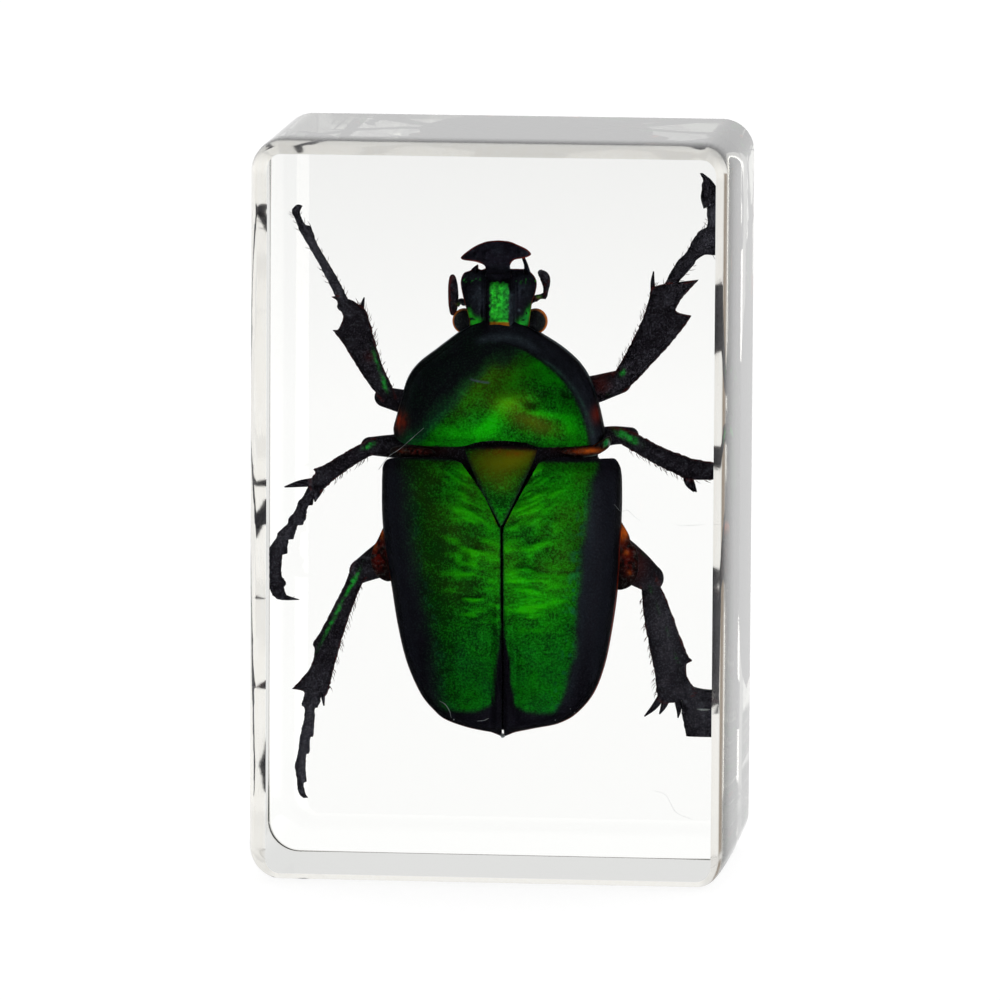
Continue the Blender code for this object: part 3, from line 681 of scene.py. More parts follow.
print("pronotum")
pronotum = {
    "outline": [
        (0.09, 33.28), (-1.1, 33.02), (-2.34, 32.27), (-3.47, 31.4), (-4.71, 30.42), (-5.36, 29.5),
        (-5.74, 28.26), (-6.03, 27.18), (-6.2, 26.46), (-6.05, 26.0), (-5.5, 25.7), (-5.1, 25.66),
        (-3.6, 25.62), (-1.97, 25.67), (-1.02, 25.95), (0.28, 26.07), (1.76, 25.96), (2.54, 25.72),
        (3.8, 25.7), (5.2, 25.78), (5.85, 25.85), (6.25, 26.1), (6.37, 26.45), (6.23, 27.21),
        (6.0, 28.16), (5.6, 29.41), (4.91, 30.53), (3.83, 31.5), (2.46, 32.35), (1.2, 33.02), (0.09, 33.28),
    ],
    "middle": (0.1, 28.6),
    "widest": 26.2,
    "back": [
        (25.5, 2.72), (26.3, 2.92), (27.4, 3.04), (28.6, 2.92), (29.8, 2.62), (31.0, 2.15),
        (32.1, 1.55), (32.8, 1.1), (33.3, 0.7),
    ],
    # x of the green's right border over the height, and height of its left border over x; the black beyond
    # the left border is painted shade
    "rightBorder": [
        (25.5, 5.75), (26.4, 5.65), (27.3, 5.4), (28.8, 4.75), (30.1, 3.7), (31.1, 2.3), (31.7, 1.0),
        (32.0, -0.6),
    ],
    "leftBorder": [
        (-6.2, 25.6), (-5.0, 26.3), (-3.5, 27.9), (-2.0, 29.3), (-0.5, 30.9), (1.0, 31.8), (3.0, 33.0),
    ],
    # painted highlights, and painted shade where the amount is below 0
    "paintedLight": [
        ((-2.6, 26.45), (1.0, 0.45), 5, 0.65), ((-0.7, 26.55), (0.9, 0.6), 10, 0.75),
        ((0.1, 27.6), (1.3, 0.5), 62, 0.5), ((0.8, 28.45), (0.7, 0.45), 0, 0.35),
        ((3.1, 27.65), (1.4, 0.2), -8, 0.6), ((4.5, 26.9), (0.45, 0.7), 20, 0.6),
        ((4.0, 26.0), (1.0, 0.15), 0, 0.3), ((-3.2, 25.8), (1.3, 0.12), 0, 0.4),
        ((2.6, 30.55), (0.4, 0.3), 0, 0.35), ((3.2, 29.85), (0.5, 0.3), -40, 0.4),
        ((3.95, 29.6), (0.25, 0.4), 30, 0.3), ((1.6, 30.0), (0.6, 0.8), 0, 0.12),
        ((2.1, 27.1), (1.1, 0.4), -18, -0.55), ((2.1, 28.15), (0.3, 0.2), -30, -0.5),
        ((4.2, 28.85), (0.3, 0.2), -20, -0.5), ((2.9, 28.9), (0.35, 0.2), 10, -0.3),
        ((-4.4, 26.6), (0.7, 0.6), 0, -0.2),
    ],
    "dents": [
        ((2.06, 28.3), (0.35, 0.35), 0, 0.1), ((4.2, 28.85), (0.3, 0.2), 0, 0.08),
        ((3.35, 28.95), (0.3, 0.3), 0, 0.06), ((1.9, 27.3), (1.1, 0.5), -18, 0.12),
        ((0.6, 28.5), (0.9, 0.5), 0, -0.07), ((2.4, 30.7), (0.25, 1.1), 0, 0.08),
    ],
    "olive": [
        ((0.8, 28.4), (1.1, 0.6), 0, 0.25), ((2.2, 27.2), (1.4, 0.5), -18, 0.24),
        ((0.1, 30.3), (1.6, 1.2), 0, 0.12), ((-1.2, 29.2), (2.0, 0.9), 40, 0.1),
        ((5.85, 27.7), (0.25, 0.4), 0, 0.8),
    ],
    "arch": [(-1.6, 31.75), (-0.4, 32.05), (0.6, 32.08), (1.6, 31.9), (2.6, 31.3)],
    "skirt": [(0.0, 0.06), (0.03, 0.2), (0.12, 0.36), (0.35, 0.48), (0.9, 0.55)],
    "crowd": 1.9,  # above 1 draws its rings closer together near the edge
    "count": 480,
    "rings": 110,
}


def makePronotum():
    outline = smoothLine(pronotum["outline"], pronotum["count"], closed=True)
    reach = []
    for side in (-1, 1):
        edge = outline[(side * outline[:, 0] > 0) & (outline[:, 1] > pronotum["widest"])]
        edgeX, edgeZ = edge[np.argsort(edge[:, 1])].T
        reach.append((edgeZ, side * edgeX))

    def height(x, z):
        left, right = (np.interp(z, *edge) for edge in reach)
        t = np.clip(np.where(x < 0, -x / left, x / right), 0, 1)
        back = glide(z, pronotum["back"]) * overBack(t) - patches(x, z, pronotum["dents"])
        return trunk["edge"] - back - 0.03 * humps(inPlane(x, z), 1.2, 31)

    points, faces = dome(outline, pronotum, height)
    x, y, z = points.T
    gap = gapTo(x, z, outline)
    # a raised bead along the sides and the front
    bead = band(gap, 0.1, 0.08) - 0.6 * band(gap, 0.28, 0.09)
    y -= 0.07 * bead * step(z, 26.2, 26.8) * (y < trunk["edge"] + 0.01)
    limit = glide(z, pronotum["rightBorder"])
    inside = step(x, limit, limit - 0.4)
    # the black above the green's left border is painted shade, and the front left is made darker with more
    # painted shade
    rise = glide(x, pronotum["leftBorder"]) - z + 0.3 * humps(points, 0.8, 41)
    green = inside * step(rise, -1.4, 1.3) * (1 - 0.4 * step(z, 29.8, 31.4) * step(x, 2.6, 0.9))
    # painted light: the green brighter away from its left border and towards the front, with painted
    # highlights and shade
    light = 0.12 + 0.12 * step(rise, 0, 2.5) + 0.1 * step(z, 28.6, 30.5) + 0.1 * humps(points, 0.45, 43)
    light += patches(x, z, pronotum["paintedLight"])
    # painted teal and pale sheen along the borders of the green
    shimmer = band(x - limit, 0.08, 0.16) * step(z, 31.3, 30.6)
    teal = 0.7 * shimmer * (1 + humps(points, 0.3, 45)) * step(z, 26, 27)
    teal += 0.3 * step(rise, 1.2, 0.4) * inside
    green = np.maximum(green, 0.7 * teal)
    # painted highlights: an arch across the front, a pale sheen just beyond the green's right border and a
    # line along the bead of the sides
    arch = band(z, glide(x, pronotum["arch"]), 0.22) * step(x, -1.6, -0.6) * step(x, 2.8, 1.6)
    bloom = 0.25 * shimmer + 0.4 * arch * (1 + 0.6 * humps(points, 0.35, 47))
    bloom += 0.08 * step(x, limit, limit + 0.2) * step(gap, 0.1, 0.4)
    bloom += 0.8 * step(gap, 0.07, 0.03) * step(z, 28.2, 29.5) * (y < trunk["edge"] + 0.02)
    # the short scratch left of the middle
    scratch = 29.62 - 0.16 * (x + 1.4) + 0.12 * (x + 0.9) ** 2
    bloom += 0.9 * band(z, scratch, 0.06) * step(x, -1.6, -1.4) * step(x, -0.25, -0.5)
    rust = 0.75 * spot(x, z, (-5.75, 27.0), (0.35, 0.5)) * (0.7 + 0.6 * humps(points, 0.25, 49))
    rust += 0.3 * spot(x, z, (5.9, 27.6), (0.25, 0.45))
    beetlePiece("pronotum", points, faces, shellChitin, green=green, light=light, teal=teal,
                gold=patches(x, z, pronotum["olive"]), rust=rust, bloom=bloom)


makePronotum()

print("head")
head = {
    "outline": [
        (-0.74, 36.11), (-1.0, 36.02), (-1.33, 36.12), (-1.68, 35.95), (-2.04, 35.79), (-2.22, 35.4),
        (-2.2, 34.96), (-2.05, 34.31), (-1.9, 33.8), (-1.72, 33.2), (-1.6, 32.2), (-1.2, 31.7), (0.0, 31.6),
        (1.3, 31.7), (1.75, 32.2), (1.9, 33.2), (2.02, 34.1), (2.2, 34.7), (2.27, 35.27), (2.09, 35.71),
        (1.7, 36.05), (1.34, 36.09), (0.77, 36.1), (0.0, 36.14), (-0.74, 36.11),
    ],
    "middle": (0.05, 34.2),
    "ridge": [(31.6, -1.0), (32.6, -1.2), (33.6, -1.4), (35.0, -1.42), (35.7, -1.2), (36.2, -0.85)],
    "strip": (-0.42, 0.66, 35.32, 32.86),  # left, right, top and bottom of the green on the forehead
    "cheeks": [
        ((-1.6, 33.3), (0.18, 0.55), 15, 0.9), ((-1.25, 32.95), (0.35, 0.3), 0, 1.1),
        ((1.75, 33.4), (0.2, 0.6), -20, 1.0), ((1.45, 32.95), (0.35, 0.3), 0, 0.9),
    ],
    "pale": [
        ((-1.15, 34.4), (0.45, 0.8), 0, 0.2), ((1.5, 35.0), (0.5, 0.7), 0, 0.12),
        ((1.29, 33.68), (0.09, 0.09), 0, 0.9), ((-1.5, 35.6), (0.5, 0.3), 0, 0.12),
    ],
    "skirt": [(0.0, 0.1), (0.04, 0.35), (0.16, 0.7), (0.5, 1.2), (1.0, 1.5)],
    "count": 300,
    "rings": 70,
}


def makeHead():
    left, right, top, bottom = head["strip"]

    def height(x, z):
        off = np.abs(x - (left + right) / 2)
        y = glide(z, head["ridge"]) + 0.08 * (x / 1.3) ** 4
        y -= 0.24 * step(off, 0.85, 0.62) * step(z, 35.7, 35.2)  # the raised forehead
        y += 0.1 * band(off, 0.95, 0.13)  # and the furrows beside it
        return y + 0.03 * humps(inPlane(x, z), 0.3, 51)

    outline = smoothLine(head["outline"], head["count"], closed=True)
    points, faces = dome(outline, head, height)
    x, y, z = points.T
    ragged = 0.12 * humps(points, 0.16, 53)
    strip = step(x + ragged, left - 0.1, left + 0.12) * step(x + ragged * 0.5, right + 0.1, right - 0.05)
    strip *= step(z + ragged, top + 0.1, top - 0.1)
    cheeks = patches(x, z, head["cheeks"]) * mottle(points, 0.2, 81, -0.75, -0.15)
    pits = band(z, 35.4, 0.13) * step(np.abs(x), 0.9, 1.1) * mottle(points, 0.14, 71, 0.0, 0.5)
    green = strip * (0.75 + 0.4 * humps(points, 0.14, 55)) + cheeks + 0.9 * pits
    # painted light, the green much brighter low on the head
    light = 0.8 + 1.1 * step(z, 33.8, 33.2) + 0.4 * humps(points, 0.2, 61)
    rust = 0.8 * strip * step(z, bottom + 0.16, bottom + 0.06)
    rust += 0.25 * step(gapTo(x, z, outline), 0.07, 0.02)
    teal = 0.5 * spot(x, z, (1.6, 33.2), (0.35, 0.5)) + 0.2 * pits + 0.25 * step(x, 0.0, 0.5) * strip
    bloom = 0.4 * band(x, 0.85, 0.16) * step(z, 35.0, 34.5) + patches(x, z, head["pale"])
    beetlePiece("head", points, faces, faceChitin, green=green, light=light, teal=teal,
                rust=rust, bloom=bloom * (1 + 0.9 * humps(points, 0.15, 57)))


makeHead()

print("horn")
horn = {
    "outline": [
        (0.02, 37.84), (-0.63, 37.76), (-1.28, 37.5), (-1.82, 37.13), (-2.12, 36.86), (-2.16, 36.74),
        (-2.0, 36.64), (-1.58, 36.6), (-1.25, 36.55), (-0.86, 36.41), (-0.71, 36.26), (-0.68, 35.93),
        (-0.68, 35.93), (0.0, 35.7), (0.77, 36.0), (0.77, 36.0), (0.77, 36.4), (1.01, 36.7), (1.4, 36.79),
        (1.74, 36.87), (1.97, 37.0), (1.96, 37.14), (1.68, 37.38), (1.2, 37.6), (0.67, 37.79),
        (0.02, 37.84),
    ],
    "middle": (0.0, 36.9),
    "neck": [(0.05, -1.45, 36.9), (0.03, -1.35, 36.2), (0.05, -1.2, 35.6), (0.08, -1.15, 35.1)],
    "neckSize": [0.72, 0.7, 0.76, 0.5],
    "spike": [(1.72, -0.95, 35.9), (1.66, -1.1, 36.35), (1.5, -1.4, 36.85)],
    "tooth": [(-1.4, -0.95, 35.95), (-1.25, -1.0, 36.22), (-1.2, -1.05, 36.3)],
    "spikeSize": [0.2, 0.12, 0.1],
    "toothSize": [0.22, 0.14, 0.05],
    "rust": [((-1.0, 36.25), (0.14, 0.16), 0, 0.6)],
    "skirt": [(0.0, 0.08), (0.02, 0.25), (0.1, 0.4), (0.3, 0.5), (0.7, 0.55)],
    "count": 240,
    "rings": 40,
}


def makeHorn():
    def height(x, z):
        arch = np.sqrt(np.clip(1 - 0.8 * (z - 36.95) ** 2 - (x / 2.3) ** 4, 0, 1))
        return -1.62 - 0.3 * arch + 0.03 * humps(inPlane(x, z), 0.25, 91)

    outline = smoothLine(horn["outline"], horn["count"], closed=True)
    points, faces = gather([
        dome(outline, horn, height),
        rod(horn["neck"], horn["neckSize"], count=24, rings=20, flatness=0.45),
        rod(horn["spike"], horn["spikeSize"], count=12, rings=12),
        rod(horn["tooth"], horn["toothSize"], count=10, rings=8),
    ])
    x, y, z = points.T
    rust = 0.3 * step(gapTo(x, z, outline), 0.1, 0.02) * (z > 36.5) + patches(x, z, horn["rust"])
    bloom = 0.05 * mottle(points, 0.3, 93, 0.1, 0.8)
    beetlePiece("horn", points, faces, faceChitin, rust=rust, bloom=bloom)


makeHorn()

print("eyes and antennae")
eyes = {
    "size": (0.72, 0.66, 0.76),
    "middles": {"eyeLeft": (-2.02, -0.3, 32.92), "eyeRight": (2.2, -0.3, 32.98)},
}
for name, middle in eyes["middles"].items():
    points, faces = ball(middle, eyes["size"], rings=40, count=60)
    x, y, z = (points - middle).T
    rim = step(np.hypot(x / eyes["size"][0], z / eyes["size"][2]), 0.8, 0.94)
    out = step(np.sign(middle[0]) * x, 0.0, 0.4)
    beetlePiece(name, points, faces, eyeLenses, rust=rim * (0.25 + 0.75 * out), bloom=0.04 * out)

antennae = {
    "stalkSize": [0.14, 0.12, 0.2, 0.15, 0.22],
    "green": [((2.4, 34.42), (0.2, 0.14), 0, 0.9), ((-2.35, 33.9), (0.2, 0.12), 0, 0.6)],
    "antennaLeft": {
        "stalk": [(-1.6, -0.2, 34.0), (-2.0, -0.3, 33.98), (-2.25, -0.3, 34.1), (-2.5, -0.3, 33.9)],
        "club": [(-2.7, -0.3, 33.4), (-2.69, -0.35, 34.4), (-2.74, -0.3, 35.5)],
        "clubSize": [0.2, 0.29, 0.31, 0.29, 0.2],
    },
    "antennaRight": {
        "stalk": [(1.75, -0.2, 33.95), (2.25, -0.3, 34.35), (2.75, -0.3, 34.5)],
        "club": [(2.75, -0.3, 34.45), (2.82, -0.35, 35.1), (2.72, -0.3, 35.6), (2.5, -0.3, 35.85)],
        "clubSize": [0.14, 0.16, 0.24, 0.3, 0.22],
    },
}
for name in ("antennaLeft", "antennaRight"):
    parts = antennae[name]
    forms = [
        rod(parts["stalk"], antennae["stalkSize"], count=12, rings=24),
        rod(parts["club"], parts["clubSize"], count=16, rings=40, flatness=0.8),
    ]
    for end in (0, -1):
        forms.append(ball(parts["club"][end], [0.9 * parts["clubSize"][end]] * 3, rings=8, count=12))
    points, faces = gather(forms)
    x, y, z = points.T
    green = patches(x, z, antennae["green"])
    rust = 0.6 * step(x, -2.8, -2.95) + 0.3 * mottle(points, 0.2, 33, 0.3, 0.8)
    beetlePiece(name, points, faces, limbChitin, green=green, light=0.7, gold=green * 0.6,
                rust=rust, bloom=0.3 * mottle(points, 0.18, 95, 0.0, 0.7))

print("joint plates")
plainPlate = {
    "green": [],
    "pale": [],
    "skirt": [(0.0, 0.1), (0.05, 0.4), (0.15, 0.7)],
    "count": 160,
    "rings": 24,
}
plates = {
    "plateRight": {
        "outline": [
            (3.89, 25.44), (4.25, 25.63), (4.96, 25.7), (5.67, 25.71), (6.15, 25.66), (6.38, 26.08),
            (6.68, 26.27), (6.8, 26.03), (6.68, 25.67), (6.33, 25.37), (5.79, 25.12), (5.02, 25.08),
            (4.37, 25.2), (3.89, 25.44),
        ],
        "middle": (5.3, 25.4), "deep": -2.0, "fall": 0.55,
        "amber": [((5.55, 25.45), (0.55, 0.14), 0, 1.1), ((4.6, 25.4), (0.5, 0.1), 0, 0.15)],
        "green": [((6.5, 25.9), (0.2, 0.3), -20, 1.2)],
        "blood": [((4.5, 25.4), (0.6, 0.25), 0, 0.9)],
        "pale": [((5.9, 25.14), (0.9, 0.06), 8, 0.9), ((6.7, 25.7), (0.07, 0.3), 10, 0.8)],
    },
    "plateLeft": {
        "outline": [
            (-6.32, 24.95), (-6.3, 25.3), (-5.73, 25.5), (-4.83, 25.5), (-3.82, 25.4), (-3.6, 25.15),
            (-4.65, 24.95), (-5.6, 24.85), (-6.32, 24.95),
        ],
        "middle": (-4.9, 25.2), "deep": -2.0, "fall": 0.55,
        "amber": [((-5.5, 25.2), (0.3, 0.1), 0, 0.1)],
        "blood": [((-4.9, 25.25), (1.2, 0.22), 0, 0.9)],
    },
    "coxaRight": {
        "outline": [
            (6.6, 21.3), (7.22, 21.25), (7.55, 20.84), (7.84, 20.31), (7.96, 19.84), (8.26, 19.54),
            (8.4, 18.83), (8.33, 17.93), (7.95, 17.3), (7.2, 17.05), (6.4, 17.4), (6.2, 19.4),
            (6.6, 21.3),
        ],
        "middle": (7.3, 19.1), "deep": -0.55, "fall": -0.02,
        "amber": [
            ((7.5, 20.5), (0.3, 0.42), -25, 1.2), ((7.7, 19.3), (0.14, 0.14), 0, 0.8),
            ((7.9, 18.1), (0.12, 0.14), 0, 0.4),
        ],
        "blood": [((7.8, 18.9), (0.6, 1.1), 0, 0.9), ((7.3, 20.0), (0.4, 0.6), 0, 0.6)],
    },
    "coxaLeft": {
        "outline": [
            (-6.1, 21.0), (-6.53, 20.95), (-6.82, 20.46), (-7.06, 19.92), (-7.36, 19.31), (-7.53, 18.65),
            (-7.35, 17.94), (-6.93, 17.46), (-6.3, 17.35), (-5.9, 18.2), (-6.1, 21.0),
        ],
        "middle": (-6.6, 19.1), "deep": -0.55, "fall": 0.02,
        "amber": [((-6.9, 20.2), (0.16, 0.3), 20, 0.7), ((-7.3, 19.4), (0.16, 0.2), 0, 0.5)],
        "blood": [((-7.0, 18.9), (0.6, 1.1), 0, 1.0)],
    },
}


def makePlate(name, plate):
    outline = smoothLine(plate["outline"], plate["count"], closed=True)

    def height(x, z):
        swell = 0.2 * np.sqrt(np.clip(gapTo(x, z, outline) / 0.35, 0, 1))
        tilt = plate["fall"] * (np.abs(x) - abs(plate["middle"][0]))
        return plate["deep"] + tilt - swell + 0.04 * humps(inPlane(x, z), 0.25, 37)

    points, faces = dome(outline, plate, height)
    x, y, z = points.T
    spots = mottle(points, 0.16, 39, 0.5, -0.2)
    blood = patches(x, z, plate["blood"]) * (0.2 + 0.8 * spots)
    green = np.clip(patches(x, z, plate["green"]), 0, 1)
    beetlePiece(name, points, faces, thinChitin, green=np.maximum(green, blood), gold=1 - green,
                light=0.8, rust=patches(x, z, plate["amber"]) * (0.6 + 0.4 * spots),
                bloom=patches(x, z, plate["pale"]))


for name, plate in plates.items():
    makePlate(name, dict(plainPlate, **plate))

print("underside")
underside = {
    "abdomen": [
        (8.5, 0.45, 0.8, 0.5), (9.0, 0.5, 2.6, 1.2), (9.9, 0.6, 4.1, 2.0), (11.2, 0.6, 5.0, 2.7),
        (13.5, 0.52, 5.8, 3.35), (17.0, 0.46, 6.35, 3.85), (21.0, 0.3, 6.6, 4.05), (24.0, 0.28, 6.2, 3.8),
        (25.0, 0.3, 5.6, 3.4),
    ],
    "thorax": [
        (24.2, 0.2, 5.8, 3.3), (25.4, 0.18, 5.75, 3.1), (26.6, 0.12, 5.75, 2.65), (28.0, 0.1, 5.5, 2.65),
        (29.6, 0.1, 4.95, 2.4), (31.0, 0.1, 4.0, 2.0), (32.1, 0.08, 2.6, 1.65), (32.8, 0.05, 1.4, 1.2),
    ],
    "joints": [11.2, 12.8, 14.6, 16.5, 18.4],  # between the belly plates
    "abdomenRise": [(8.5, 0.1), (25.0, 0.1)],
    "sheen": [((0.5, 15.0), (4.0, 4.0), 0, 0.2)],
    "thoraxRise": [(24.2, 2.2), (25.3, 2.3), (26.4, 2.2), (28.0, 2.2), (31.0, 1.2), (32.8, 0.6)],
    "amber": [((-4.4, 25.3), (1.3, 0.35), 0, 0.3), ((4.6, 25.5), (1.0, 0.3), 0, 0.3)],
    # hips (middle, size) between the trunk and the legs
    "hips": [
        ((-2.2, 1.9, 27.4), (1.5, 0.9, 1.0)), ((2.5, 1.9, 27.7), (1.5, 0.9, 1.0)),
        ((-2.3, 2.9, 23.9), (1.3, 0.95, 1.1)), ((2.8, 2.9, 24.2), (1.3, 0.95, 1.1)),
        ((-2.9, 3.0, 20.2), (2.6, 0.9, 1.2)), ((3.5, 3.0, 20.3), (2.6, 0.9, 1.2)),
    ],
}


# a trunk form over a table (z, middle, half width, depth), its back up to rise above the edge
def belly(table, rise, rows, joints=(), around=72):
    table = np.asarray(table, float)
    z = np.linspace(table[0, 0], table[-1, 0], rows)
    middle, half, deep = (glide(z, table[:, (0, k)]) for k in (1, 2, 3))
    turn = 2 * math.pi * np.arange(around) / around
    ring = np.array([np.cos(turn), np.sin(turn)])
    wide, tall = np.sign(ring) * np.abs(ring) ** (2 / trunk["bellyPower"])
    groove = np.zeros(rows)
    for joint in joints:
        groove += 0.12 * band(z, joint, 0.09) - 0.06 * step(z, joint - 0.5, joint) * (z < joint)
    depth = np.where(tall > 0, -glide(z, rise)[:, None], (deep - groove)[:, None])
    x = middle[:, None] + (half - groove)[:, None] * wide
    y = trunk["edge"] + 0.25 + np.abs(tall) * depth
    return wrap(np.stack([x, y, np.repeat(z[:, None], around, axis=1)], -1))


def makeUnderside():
    joints = underside["joints"]
    points, faces = belly(underside["abdomen"], underside["abdomenRise"], rows=160, joints=joints)
    x, y, z = points.T
    sheen = patches(x, z, underside["sheen"])
    beetlePiece("abdomen", points, faces, limbChitin, green=sheen, light=sheen, rust=sheen * 0.4)
    forms = [belly(underside["thorax"], underside["thoraxRise"], rows=120)]
    forms += [ball(middle, size, rings=24, count=36) for middle, size in underside["hips"]]
    points, faces = gather(forms)
    x, y, z = points.T
    beetlePiece("thorax", points, faces, limbChitin, rust=patches(x, z, underside["amber"]) * (y < 0))


makeUnderside()

